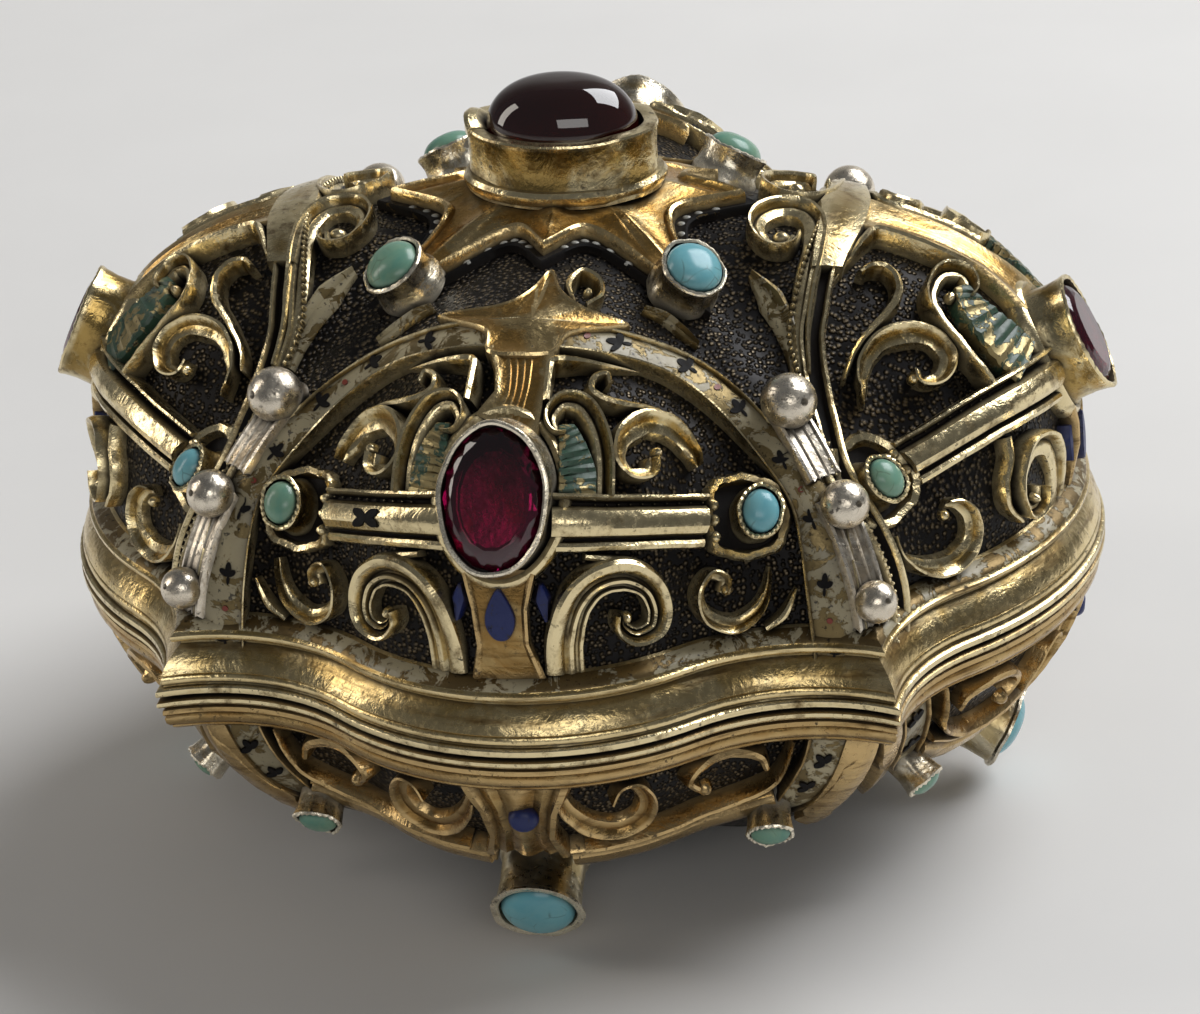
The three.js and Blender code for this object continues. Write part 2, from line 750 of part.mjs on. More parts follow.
function lidStrapworkGeometry(panel) {
  const { barEnd, garnet, garnetUp, barDroop, apexUp, scrolls } = panel.entry.face;
  const halfWidth = garnet.halfWidth + GAP + COLLET_WALL;
  const halfHeight = garnet.halfHeight + GAP + COLLET_WALL;
  const pieces = [seatRing(panel, garnetUp, halfWidth, halfHeight, OVAL_FACETS - 4)];
  const side = fieldHalfWidth(panel) - BAR_TURQUOISE.radius - GAP - COLLET_WALL;
  const apexEdge = apexUp - BAND_WIDTH * 0.6 - GAP;
  const stem = smoothPath([[0, apexEdge], [0, garnetUp + halfHeight + STRAP_LAP]], 2);
  pieces.push(strap(panel, stem, STEM_WIDTH, flatSection(GAP + 0.02, BAR_RISE)));
  const ledgeUp = panelUp(panel, 0, LID_RIM_HEIGHT + 0.4);
  const foot = smoothPath([[0, garnetUp - halfHeight - STRAP_LAP], [0, ledgeUp]], 1);
  pieces.push(strap(panel, foot, FOOT_STEM_WIDTH, flatSection(GAP + 0.02, BAR_RISE)));
  const starts = {
    foot_volute: [[0.8, ledgeUp + 1.6], [3.6, ledgeUp + 1.9]],
    upper_scroll: [[side - BAR_TURQUOISE.radius - COLLET_WALL - GAP, BAR_UP + BAR_WIDTH / 2]],
  };
  for (const sign of [1, -1]) {
    const barEnds = [[halfWidth + STRAP_LAP, BAR_UP - barDroop], [side, BAR_UP + BAR_END_RISE]];
    const bar = smoothPath(barEnds, 2, sign);
    pieces.push(strap(panel, bar, BAR_WIDTH, groovedSection(GAP + 0.04, BAR_RISE)));
    pieces.push(smallCollet(panel, BAR_TURQUOISE, BAR_TURQUOISE_COLLET, sign * side, BAR_TURQUOISE_UP));
    for (const [scroll, points] of Object.entries(scrolls)) {
      const spread = points.map(([sideways, upward]) => [
        halfWidth + (sideways - halfWidth) * (side - halfWidth) / (barEnd - halfWidth),
        upward,
      ]);
      const run = [...(starts[scroll] ?? []), ...spread];
      const path = smoothPath(run, run.length - 1, sign);
      pieces.push(strap(panel, path, SCROLL_WIDTH, ridgeSection(GAP + 0.03, SCROLL_RISE)));
    }
  }
  return fuse(pieces);
}

function smallCollet(panel, stone, height, sideways, upward) {
  const radius = stone.radius + GAP + COLLET_WALL;
  const collet = colletGeometry(radius, radius, height, COLLET_WALL, stoneSeatDepth(stone), SMALL_FACETS);
  return collet.applyMatrix4(stoneSeat(panel, sideways, upward));
}

function stoneSeatDepth(stone) {
  return stone.radius * 0.4 + GAP;
}

// Placement of a stone in a collet: raised by the collet's floor and a gap
function stonePlace(seat, height, seatDepth) {
  return seat.clone().multiply(new THREE.Matrix4().makeTranslation(0, 0, height - seatDepth + GAP));
}

// Corner ribs run up the flat across each corner
const flatFront = lobeEdge(groundFront, groundSide, CORNER_REACH);
const flatSide = lobeEdge(groundSide, groundFront, CORNER_REACH);
const cornerTurn = Math.atan2(
  lobeDepth(groundFront, flatFront) + flatSide,
  lobeDepth(groundSide, flatSide) + flatFront,
);
const cornerAngles = [-cornerTurn, cornerTurn, Math.PI - cornerTurn, Math.PI + cornerTurn];

function cornerGround(angle, height) {
  const out = new THREE.Vector3(Math.cos(angle), Math.sin(angle), 0);
  return hitGround(lidMeasure, new THREE.Vector3(0, 0, height), out, 2 * SIDE_LOBE.reach);
}

function cornerRibGeometry(angle) {
  const across = new THREE.Vector3(-Math.sin(angle), Math.cos(angle), 0);
  const top = BEADS[0].up - BEADS[0].radius * 0.6;
  const bottom = LID_RIM_HEIGHT + GAP;
  const steps = 3;
  const crest = GAP + RIB_RISE;
  const section = [[-1, GAP], [1, GAP], [0.9, crest], [0, GAP + RIB_RISE * 0.6], [-0.9, crest]];
  const rings = [];
  for (let i = 0; i <= steps; i += 1) {
    const height = SEAM_HEIGHT + bottom + (top - bottom) * i / steps;
    const { point, normal } = cornerGround(angle, height);
    const out = normal.clone().addScaledVector(across, -normal.dot(across)).normalize();
    const half = RIB_WIDTH / 2 * (1 - 0.25 * i / steps);
    rings.push(section.map(([share, lift]) => point.clone()
      .addScaledVector(across, share * half)
      .addScaledVector(out, lift)));
  }
  const pieces = [skin(rings, false, section)];
  for (const bead of BEADS) {
    const ball = new THREE.SphereGeometry(bead.radius, 8, 5);
    const { point } = cornerGround(angle, SEAM_HEIGHT + bead.up);
    const reach = 1 + bead.stand / Math.hypot(point.x, point.y);
    ball.translate(point.x * reach, point.y * reach, point.z);
    pieces.push(ball);
  }
  return fuse(pieces);
}

// The crown mount is a star plate on top of the dome
function crownStarReach(angle) {
  const quarter = Math.PI / 2;
  const turn = Math.abs(((angle % Math.PI) + Math.PI) % Math.PI - quarter) / quarter;
  const point = turn > 0.5 ? CROWN_POINT_SIDE : CROWN_POINT_FRONT;
  const share = Math.abs(2 * turn - 1);
  return CROWN_LEG + (point - CROWN_LEG) * share - CROWN_HOLLOW * Math.sin(Math.PI * share);
}

function crownMountGeometry() {
  const facets = 24;
  const up = new THREE.Vector3(0, 0, 1);
  const onTop = (angle, reach, lift) => {
    const springHeight = SEAM_HEIGHT + LID_SPRING;
    const start = new THREE.Vector3(reach * Math.cos(angle), reach * Math.sin(angle), springHeight);
    const { point, normal } = hitGround(lidMeasure, start, up, 2 * LID_RISE);
    return point.addScaledVector(normal, lift);
  };
  const ring = (share, lift) => {
    const points = [];
    for (let i = 0; i < facets; i += 1) {
      const angle = 2 * Math.PI * i / facets;
      points.push(onTop(angle, crownStarReach(angle) * share, lift));
    }
    return points;
  };
  const low = GAP;
  const high = GAP + CROWN_MOUNT_RISE;
  const plate = skin([
    ring(0.5, low),
    ring(0.8, low),
    ring(1, low),
    ring(1, high),
    ring(0.75, high + 0.1),
    ring(0.5, high + CROWN_MOUNT_SWELL),
  ]);
  const radius = CROWN_TURQUOISE.radius + GAP + COLLET_WALL;
  const collets = cornerAngles.map((angle) => {
    const collet = colletGeometry(
      radius, radius, CROWN_TURQUOISE_COLLET, COLLET_WALL, stoneSeatDepth(CROWN_TURQUOISE), SMALL_FACETS,
    );
    return collet.applyMatrix4(crownStoneSeat(angle));
  });
  return fuse([plate, ...collets]);
}

function crownStoneSeat(angle) {
  const start = new THREE.Vector3(
    CROWN_TURQUOISE_REACH * Math.cos(angle),
    CROWN_TURQUOISE_REACH * Math.sin(angle),
    SEAM_HEIGHT + LID_SPRING,
  );
  const up = new THREE.Vector3(0, 0, 1);
  const { point, normal } = hitGround(lidMeasure, start, up, 2 * LID_RISE);
  const across = new THREE.Vector3(-Math.sin(angle), Math.cos(angle), 0);
  const tilt = THREE.MathUtils.degToRad(CROWN_TURQUOISE_TILT);
  const axis = normal.clone().applyAxisAngle(across, tilt);
  const lift = GAP + (CROWN_TURQUOISE.radius + GAP + COLLET_WALL) * Math.sin(tilt);
  return seatMatrix(point.addScaledVector(normal, lift), axis, across);
}

// Height of the crown mount's middle, where the big collet stands
const crownSeatHeight = SEAM_HEIGHT + LID_SPRING + LID_RISE + CROWN_MOUNT_RISE + CROWN_MOUNT_SWELL + 2 * GAP;

function crownColletGeometry() {
  const halfWidth = CROWN_GARNET.halfWidth + GAP + CROWN_COLLET_WALL;
  const halfDepth = CROWN_GARNET.halfDepth + GAP + CROWN_COLLET_WALL * 0.6;
  return ovalTurn([
    [0.2, 0],
    [0, CROWN_COLLET_HEIGHT],
    [CROWN_COLLET_WALL * 0.6, CROWN_COLLET_HEIGHT],
    [CROWN_COLLET_WALL * 0.8, CROWN_COLLET_HEIGHT - CROWN_SEAT_DEPTH],
  ], halfWidth, halfDepth, OVAL_FACETS + 4);
}

// Base strapwork, drawn up and sideways from the seat of the big turquoise
const BASE_SCROLLS = {
  stem_scroll: [[2.0, 9.6], [2.3, 6.6], [4.6, 4.9], [7.6, 5.7], [7.9, 8.0], [6.0, 8.2]],
};

// The big collet stands along the panel axis and its foot is shaped to the slanting ground
function bigBaseCollet(panel) {
  const facets = SMALL_FACETS + 4;
  const radius = BASE_TURQUOISE.radius + GAP + COLLET_WALL;
  const seat = stoneSeat(panel, 0, 0, 1);
  const circle = (inset, place) => {
    const points = [];
    for (let i = 0; i < facets; i += 1) {
      const angle = 2 * Math.PI * i / facets;
      points.push(place((radius - inset) * Math.cos(angle), (radius - inset) * Math.sin(angle)));
    }
    return points;
  };
  const onGround = (side, up) => panel.spot(side, up, GAP + 0.01);
  const raised = (height) => (side, up) => new THREE.Vector3(side, up, height).applyMatrix4(seat);
  const floor = BASE_TURQUOISE_COLLET - stoneSeatDepth(BASE_TURQUOISE);
  return skin([
    circle(radius - 0.1, onGround),
    circle(0, onGround),
    circle(0, raised(BASE_TURQUOISE_COLLET)),
    circle(COLLET_WALL, raised(BASE_TURQUOISE_COLLET)),
    circle(COLLET_WALL, raised(floor)),
  ]);
}

function baseStrapworkGeometry(panel) {
  const topUp = panelUp(panel, 0, -BASE_RIM_HEIGHT - 0.6);
  const edgeUp = panelUp(panel, BASE_BAND_SIDE + 0.5, -BASE_RIM_HEIGHT - 0.7);
  const pieces = [];
  const stem = smoothPath([[0, topUp], [0, topUp / 2], [0, 1.0]], 3);
  pieces.push(strap(panel, stem, BASE_STEM_WIDTH, flatSection(GAP, BASE_STRAP_RISE)));
  pieces.push(bigBaseCollet(panel));
  for (const sign of [1, -1]) {
    const strapPlaces = [[1.0, 2.4], [BASE_SMALL_SIDE / 2, 2.3], [BASE_SMALL_SIDE, BASE_SMALL_UP]];
    const strapPath = smoothPath(strapPlaces, 5, sign);
    pieces.push(strap(panel, strapPath, BASE_STRAP_WIDTH, flatSection(GAP + 0.02, BASE_STRAP_RISE)));
    const smallPlace = [BASE_SMALL_SIDE, BASE_SMALL_UP];
    const bandPlaces = [smallPlace, [BASE_BAND_SIDE - 1.3, 6.4], [BASE_BAND_SIDE, edgeUp]];
    const band = smoothPath(bandPlaces, 4, sign);
    pieces.push(strap(panel, band, BASE_BAND_WIDTH, flatSection(GAP + 0.04, BASE_STRAP_RISE)));
    const out = sign * BASE_SMALL_SIDE;
    pieces.push(smallCollet(panel, BASE_SMALL_TURQUOISE, BASE_SMALL_COLLET, out, BASE_SMALL_UP));
    for (const points of Object.values(BASE_SCROLLS)) {
      const path = smoothPath(points, points.length, sign);
      pieces.push(strap(panel, path, SCROLL_WIDTH, ridgeSection(GAP + 0.03, SCROLL_RISE)));
    }
  }
  return fuse(pieces);
}

// Hinge: knuckles in a row along x, leaves soldered behind the two lips
const hingeY = FRONT_LOBE.reach + GAP + KNUCKLE_RADIUS;
const hingeLength = KNUCKLES * KNUCKLE_LENGTH + (KNUCKLES - 1) * GAP;

function alongX(radius, length, x, facets) {
  const rod = new THREE.CylinderGeometry(radius, radius, length, facets);
  return rod.rotateZ(Math.PI / 2).translate(x, hingeY, SEAM_HEIGHT);
}

function leafPlate(direction) {
  const half = hingeLength / 2;
  const radius = FRONT_LOBE.crest + GAP;
  const centre = FRONT_LOBE.reach - FRONT_LOBE.crest;
  const reach = Math.asin(Math.min(half / radius, 1));
  const shape = new THREE.Shape();
  shape.absarc(0, centre, radius, Math.PI / 2 + reach, Math.PI / 2 - reach, true);
  const outer = hingeY - KNUCKLE_RADIUS + LEAF_THICKNESS;
  shape.lineTo(half, outer);
  shape.lineTo(-half, outer);
  shape.closePath();
  const near = KNUCKLE_RADIUS + GAP;
  const extrusion = { depth: LEAF_HEIGHT - near, bevelEnabled: false, curveSegments: 6 };
  const plate = new THREE.ExtrudeGeometry(shape, extrusion);
  const low = direction > 0 ? SEAM_HEIGHT + near : SEAM_HEIGHT - LEAF_HEIGHT;
  return plate.translate(0, 0, low);
}

function leafGeometry(direction, first) {
  const pieces = [leafPlate(direction)];
  for (let i = first; i < KNUCKLES; i += 2) {
    const x = -hingeLength / 2 + KNUCKLE_LENGTH / 2 + i * (KNUCKLE_LENGTH + GAP);
    pieces.push(alongX(KNUCKLE_RADIUS, KNUCKLE_LENGTH, x, 12));
    const finger = new THREE.BoxGeometry(KNUCKLE_LENGTH, LEAF_THICKNESS, LEAF_HEIGHT);
    const fingerY = hingeY - KNUCKLE_RADIUS + LEAF_THICKNESS / 2;
    pieces.push(finger.translate(x, fingerY, SEAM_HEIGHT + direction * LEAF_HEIGHT / 2));
  }
  const bore = alongX(PIN_RADIUS + GAP, hingeLength + 2, 0, 10);
  return cut(fuse(pieces), [bore]);
}

// Scene graph
const box = new THREE.Group();

function material({ color, roughness, metalness }) {
  return new THREE.MeshStandardMaterial({ color, roughness, metalness });
}

function addMesh(name, geometry, finish, place) {
  const mesh = new THREE.Mesh(geometry, material(finish));
  mesh.name = name;
  if (place) {
    place.decompose(mesh.position, mesh.quaternion, mesh.scale);
  }
  box.add(mesh);
}

function addLid() {
  addMesh('lid_shell', lidShellGeometry(), GROUND);
  addMesh('lid_rim', lidRimGeometry(), GILT);
  addMesh('crown_mount', crownMountGeometry(), GILT);
  const crownSeat = new THREE.Matrix4().makeTranslation(0, 0, crownSeatHeight);
  addMesh('crown_collet', crownColletGeometry(), GILT, crownSeat);
  const crownStone = cabochonGeometry(
    CROWN_GARNET.halfWidth, CROWN_GARNET.halfDepth, CROWN_GARNET.girdle, CROWN_GARNET.dome, OVAL_FACETS, 4,
  );
  const crownStonePlace = stonePlace(crownSeat, CROWN_COLLET_HEIGHT, CROWN_SEAT_DEPTH);
  addMesh('crown_garnet', crownStone, GARNET_RED, crownStonePlace);
  cornerAngles.forEach((angle, i) => {
    const stone = CROWN_TURQUOISE;
    const place = stonePlace(crownStoneSeat(angle), CROWN_TURQUOISE_COLLET, stoneSeatDepth(stone));
    const geometry = roundCabochon(stone);
    addMesh(`crown_turquoise_${CORNERS[i]}`, geometry, TURQUOISE_BLUE, place);
    addMesh(`corner_rib_${CORNERS[i]}`, cornerRibGeometry(angle), SILVER);
  });
  lidPanels.forEach((panel) => addLidPanel(panel));
}

function addLidPanel(panel) {
  const name = panel.entry.name;
  addMesh(`arch_band_${name}`, archBandGeometry(panel), ENAMEL);
  addMesh(`lid_strapwork_${name}`, lidStrapworkGeometry(panel), GILT);
  const { garnet, garnetUp } = panel.entry.face;
  const seat = stoneSeat(panel, 0, garnetUp, 1);
  const halfWidth = garnet.halfWidth + GAP + COLLET_WALL;
  const halfHeight = garnet.halfHeight + GAP + COLLET_WALL;
  const depth = GARNET_SEAT_DEPTH;
  const collet = colletGeometry(halfWidth, halfHeight, GARNET_COLLET_HEIGHT, COLLET_WALL, depth, OVAL_FACETS);
  addMesh(`garnet_collet_${name}`, collet, SILVER, seat);
  const cutStone = facetedGeometry(garnet, OVAL_FACETS);
  addMesh(`garnet_${name}`, cutStone, GARNET_RED, stonePlace(seat, GARNET_COLLET_HEIGHT, depth));
  for (const [label, sign] of [['left', -1], ['right', 1]]) {
    const stone = BAR_TURQUOISE;
    const side = fieldHalfWidth(panel) - stone.radius - GAP - COLLET_WALL;
    const stoneFrame = stoneSeat(panel, sign * side, BAR_TURQUOISE_UP);
    const place = stonePlace(stoneFrame, BAR_TURQUOISE_COLLET, stoneSeatDepth(stone));
    const geometry = roundCabochon(stone);
    addMesh(`lid_turquoise_${name}_${label}`, geometry, TURQUOISE_BLUE, place);
  }
}

function addBase() {
  addMesh('base_shell', baseShellGeometry(), GROUND);
  addMesh('base_rim', baseRimGeometry(), GILT);
  addMesh('locating_flange', flangeGeometry(), GILT);
  addMesh('foot_plate', footGeometry(), GILT);
  basePanels.forEach((panel) => addBasePanel(panel));
}

function addBasePanel(panel) {
  const name = panel.entry.name;
  addMesh(`base_strapwork_${name}`, baseStrapworkGeometry(panel), GILT);
  const big = BASE_TURQUOISE;
  const place = stonePlace(stoneSeat(panel, 0, 0, 1), BASE_TURQUOISE_COLLET, stoneSeatDepth(big));
  const geometry = cabochonGeometry(big.radius, big.radius, big.radius * 0.4, big.dome, SMALL_FACETS + 4);
  addMesh(`base_turquoise_${name}`, geometry, TURQUOISE_BLUE, place);
  for (const [label, sign] of [['left', -1], ['right', 1]]) {
    const stone = BASE_SMALL_TURQUOISE;
    const seat = stoneSeat(panel, sign * BASE_SMALL_SIDE, BASE_SMALL_UP);
    const at = stonePlace(seat, BASE_SMALL_COLLET, stoneSeatDepth(stone));
    const small = roundCabochon(stone);
    addMesh(`base_turquoise_${name}_${label}`, small, TURQUOISE_BLUE, at);
  }
}

function addHinge() {
  addMesh('base_hinge_leaf', leafGeometry(-1, 0), GILT);
  addMesh('lid_hinge_leaf', leafGeometry(1, 1), GILT);
  addMesh('hinge_pin', alongX(PIN_RADIUS, hingeLength, 0, 10), SILVER);
}

addLid();
addBase();
addHinge();

export default box;
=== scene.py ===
# Jewelled box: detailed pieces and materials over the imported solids.
# Lengths are millimetres until a mesh is made; the seam is at SEAM_HEIGHT.

import math
import random

import bmesh
import bpy
import numpy as np
from mathutils import Matrix, Vector


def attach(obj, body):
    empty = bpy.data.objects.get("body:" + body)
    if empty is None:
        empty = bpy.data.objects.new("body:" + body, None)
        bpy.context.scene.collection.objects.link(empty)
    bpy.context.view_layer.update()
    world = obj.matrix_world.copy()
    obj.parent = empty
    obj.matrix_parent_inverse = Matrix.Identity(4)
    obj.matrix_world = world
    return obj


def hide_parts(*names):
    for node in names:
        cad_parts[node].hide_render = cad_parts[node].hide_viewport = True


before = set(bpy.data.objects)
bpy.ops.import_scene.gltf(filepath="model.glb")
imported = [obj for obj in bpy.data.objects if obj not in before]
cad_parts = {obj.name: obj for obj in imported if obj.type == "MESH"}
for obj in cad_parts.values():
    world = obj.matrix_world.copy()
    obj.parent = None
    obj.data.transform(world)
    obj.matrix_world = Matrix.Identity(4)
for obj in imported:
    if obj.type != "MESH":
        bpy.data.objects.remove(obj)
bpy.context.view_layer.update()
random.seed(7)

MM = 0.001
GAP = 0.3
SEAM_GAP = 0.3
SEAM_HEIGHT = 19.6
FOOT_HEIGHT = 1.0
FOOT_RADIUS = 11.0
WALL = 1.0
FRONT_LOBE = (34.7, 18.0, 7.95, 20.5)
SIDE_LOBE = (37.0, 24.0, 11.7, 27.0)
GROUND_INSET = 2.6
CORNER_CUT = 1.03
NO_CUT = math.inf
LID_SPRING = 4.5
LID_RISE = 20.5
LID_FULLNESS_LOBE = 3.0
LID_FULLNESS_CORNER = 1.75
BASE_SPRING = 3.0
BASE_DROP = 18.5
BASE_FULLNESS = 1.65
LID_RIM_HEIGHT = 5.3
GUIDE_CLEARANCE = 0.4
PANEL_TILT = 25.0
BASE_TILT = -28.0
GARNET_UP = 16.7
GARNET_RIM = 0.35
SMALL_COLLET = (1.62, 1.85)
SMALL_STONE = (1.28, 1.5)
BASE_TURQUOISE_DOWN = 13.3
BASE_COLLET = (3.0, 2.95)
BASE_STONE = (2.68, 2.65)
BASE_SMALL_SIDE = 15.4
BASE_SMALL_UP = 2.6
BASE_SMALL_COLLET = (1.7, 1.5)
BASE_SMALL_STONE = (1.45, 1.25)
CROWN_LEG = 15.0
CROWN_POINT_FRONT = 9.9
CROWN_POINT_SIDE = 12.5
CROWN_HOLLOW = 5.0
CROWN_SEAT_HEIGHT = 47.0
CROWN_COLLET = (6.65, 4.85)
CROWN_STONE = (5.35, 3.95)
LEG_COLLET = 2.35
LEG_STONE = 2.02
LEG_STONE_REACH = 13.4
LEG_STONE_TILT = 15.0
HINGE_BACK = 36.6
KNUCKLES = 5
KNUCKLE_RADIUS = 1.6
KNUCKLE_LENGTH = 2.6
PIN_RADIUS = 0.7
LEAF_THICKNESS = 1.2
LEAF_HEIGHT = 3.6
HOLLOW_STEPS = 12
CREST_STEPS = 26
PHOTO_WIDTH = 1200
SENSOR_WIDTH = 36.0

LOBES = [
    ("front", FRONT_LOBE, SIDE_LOBE, (0, -1), (1, 0)),
    ("right", SIDE_LOBE, FRONT_LOBE, (1, 0), (0, 1)),
    ("back", FRONT_LOBE, SIDE_LOBE, (0, 1), (-1, 0)),
    ("left", SIDE_LOBE, FRONT_LOBE, (-1, 0), (0, -1)),
]
CORNERS = ["front_right", "back_right", "back_left", "front_left"]
UPWARDS = np.array([0.0, 0.0, 1.0])
SIDEWAYS = np.array([1.0, 0.0, 0.0])


# Plan outline

class Lobe:
    """One lobe's outline moved inwards: reach, crest radius, valley and hollow radius."""

    def __init__(self, shape, inset):
        reach, crest, behind, side = shape
        lift = crest - behind
        spread = side ** 2 + lift ** 2 - crest ** 2
        self.reach = reach - inset
        self.crest = crest - inset
        self.valley = reach - behind - inset
        self.side = side
        self.hollow = spread / (2 * (crest - lift)) + inset
        self.tangent = side * self.crest / (self.crest + self.hollow)

    def depth(self, sideways):
        side = np.abs(sideways)
        crest = self.reach - self.crest + np.sqrt(np.maximum(self.crest ** 2 - side ** 2, 0))
        run = np.minimum(np.abs(side - self.side), self.hollow)
        hollow = self.valley + self.hollow - np.sqrt(self.hollow ** 2 - run ** 2)
        return np.where(side <= self.tangent, crest, hollow)


def lobe_edge(lobe, neighbour, corner_reach):
    side = neighbour.valley
    for _ in range(30):
        depth = float(lobe.depth(side))
        side = min(float(neighbour.depth(depth)), corner_reach * math.sqrt(2) - depth)
    return side


GROUND_FRONT = Lobe(FRONT_LOBE, GROUND_INSET)
GROUND_SIDE = Lobe(SIDE_LOBE, GROUND_INSET)
CORNER_POINT = lobe_edge(GROUND_FRONT, GROUND_SIDE, NO_CUT)
CORNER_REACH = (CORNER_POINT + float(GROUND_FRONT.depth(CORNER_POINT))) / math.sqrt(2) - CORNER_CUT


def plan_outline(inset, corner_reach):
    points = []
    for _, shape, following, out, side in LOBES:
        lobe = Lobe(shape, inset)
        edge = lobe_edge(lobe, Lobe(following, inset), corner_reach)
        start = math.asin((lobe.side - lobe.tangent) / lobe.hollow)
        end = math.asin(max(-1.0, (lobe.side - edge) / lobe.hollow))
        steps = np.arange(HOLLOW_STEPS) / HOLLOW_STEPS
        half = lobe.side - lobe.hollow * np.sin(end + (start - end) * steps)
        arc = math.asin(lobe.tangent / lobe.crest)
        crest = lobe.crest * np.sin(arc * np.linspace(-1, 1, CREST_STEPS + 1))
        sides = np.concatenate([-half, crest, half[::-1]])
        outs = lobe.depth(sides)
        xy = np.outer(sides, side) + np.outer(outs, out)
        points.append(xy if corner_reach < NO_CUT else xy[:-1])
    return np.concatenate(points)


def circle(count):
    """Equal turns round a ring."""
    return np.linspace(0, 2 * math.pi, count, endpoint=False)


def points_at(x, y, z):
    """Points from two arrays and a height, or an array of heights."""
    return np.stack([x, y, np.broadcast_to(z, x.shape)], 1)


def row(values):
    """A number or numbers as an array of one dimension."""
    return np.atleast_1d(np.asarray(values, float))


# Ground surfaces

def last_inside(inside, far, steps):
    """The furthest reach that is still inside, found by halving."""
    near = np.zeros_like(far)
    for _ in range(steps):
        middle = (near + far) / 2
        into = inside(middle)
        near = np.where(into, middle, near)
        far = np.where(into, far, middle)
    return near


REACH_ANGLES = np.linspace(0, 2 * math.pi, 2881)


def within_plan(reach):
    x = np.abs(reach * np.cos(REACH_ANGLES))
    y = np.abs(reach * np.sin(REACH_ANGLES))
    inside = (y < GROUND_FRONT.depth(x)) & (x < GROUND_SIDE.depth(y))
    return inside & (x + y < CORNER_REACH * math.sqrt(2))


REACH_VALUES = last_inside(within_plan, np.full_like(REACH_ANGLES, 80.0), 34)


def lid_fullness(angle):
    return LID_FULLNESS_CORNER + (LID_FULLNESS_LOBE - LID_FULLNESS_CORNER) * np.cos(2 * angle) ** 2


def spread_of(points):
    """Each point's turn round the box, and its reach as a share of the plan's."""
    angle = np.arctan2(points[:, 1], points[:, 0])
    plan = np.interp(np.mod(angle, 2 * math.pi), REACH_ANGLES, REACH_VALUES)
    return angle, np.hypot(points[:, 0], points[:, 1]) / plan


def lid_measure(points):
    """Below 0 inside the lid's dome."""
    angle, spread = spread_of(points)
    full = lid_fullness(angle)
    up = np.maximum(points[:, 2] - SEAM_HEIGHT - LID_SPRING, 0) / LID_RISE
    return spread ** full + up ** full - 1


def base_measure(points):
    """Below 0 inside the base's bowl."""
    down = np.maximum(SEAM_HEIGHT - BASE_SPRING - points[:, 2], 0) / BASE_DROP
    return spread_of(points)[1] ** BASE_FULLNESS + down ** BASE_FULLNESS - 1


def hit_ground(measure, start, direction, length):
    """Where lines from inside leave the ground, and its normals there."""
    far = np.full(len(start), float(length))
    reach = last_inside(lambda run: measure(start + direction * run[:, None]) < 0, far, 28)
    point = start + direction * reach[:, None]
    normal = np.empty_like(point)
    for axis, step in enumerate(0.12 * np.eye(3)):
        normal[:, axis] = measure(point + step) - measure(point - step)
    return point, normal / np.linalg.norm(normal, axis=1)[:, None]


class Ground:
    """Ornament's ground, with two measures across it: ground() finds a point, seen() reads one back."""

    def spot(self, s, h, lift):
        point, normal = self.ground(s, h)
        return point + normal * np.reshape(lift, (-1, 1))

    def under(self, s, h, lift):
        """Place on the ground whose point, raised by lift, shows at s and h."""
        s, h = row(s), row(h)
        low_s, low_h = s.copy(), h.copy()
        for _ in range(3):
            seen_s, seen_h = self.seen(self.spot(low_s, low_h, lift))
            low_s += s - seen_s
            low_h += h - seen_h
        return low_s, low_h


class Panel(Ground):
    """A lobe's panel seen along its own axis: sideways and up from the seat of its middle stone."""

    def __init__(self, entry, measure, tilt, seat_height):
        self.name, shape, _, out, side = entry
        self.measure = measure
        self.side = np.array([*side, 0.0])
        self.angle = math.radians(tilt)
        out = np.array([*out, 0.0])
        self.axis = out * math.cos(self.angle) + UPWARDS * math.sin(self.angle)
        self.up = UPWARDS * math.cos(self.angle) - out * math.sin(self.angle)
        self.seat = hit_ground(measure, np.array([[0.0, 0.0, seat_height]]), out, shape[0])[0][0]
        self.back = float(self.seat @ out) / math.cos(self.angle)

    def ground(self, s, h):
        s, h = row(s), row(h)
        start = self.seat + np.outer(s, self.side) + np.outer(h, self.up)
        start = start - np.outer(self.back - h * math.tan(self.angle), self.axis)
        return hit_ground(self.measure, start, self.axis, 2 * self.back)

    def seen(self, points):
        offset = points - self.seat
        return offset @ self.side, offset @ self.up


class Roof(Ground):
    """The top of the lid seen from above, in x and y; half is -1 where y is mirrored to the back."""

    def __init__(self, half):
        self.half = half

    def ground(self, x, y):
        x, y = row(x), row(y)
        start = points_at(x, y * self.half, SEAM_HEIGHT + LID_SPRING)
        return hit_ground(lid_measure, start, UPWARDS, 60)

    def seen(self, points):
        return points[:, 0], points[:, 1] * self.half


LID_PANELS = [Panel(e, lid_measure, PANEL_TILT, SEAM_HEIGHT + GARNET_UP) for e in LOBES]
BASE_PANELS = [Panel(e, base_measure, BASE_TILT, SEAM_HEIGHT - BASE_TURQUOISE_DOWN) for e in LOBES]


# Mesh building

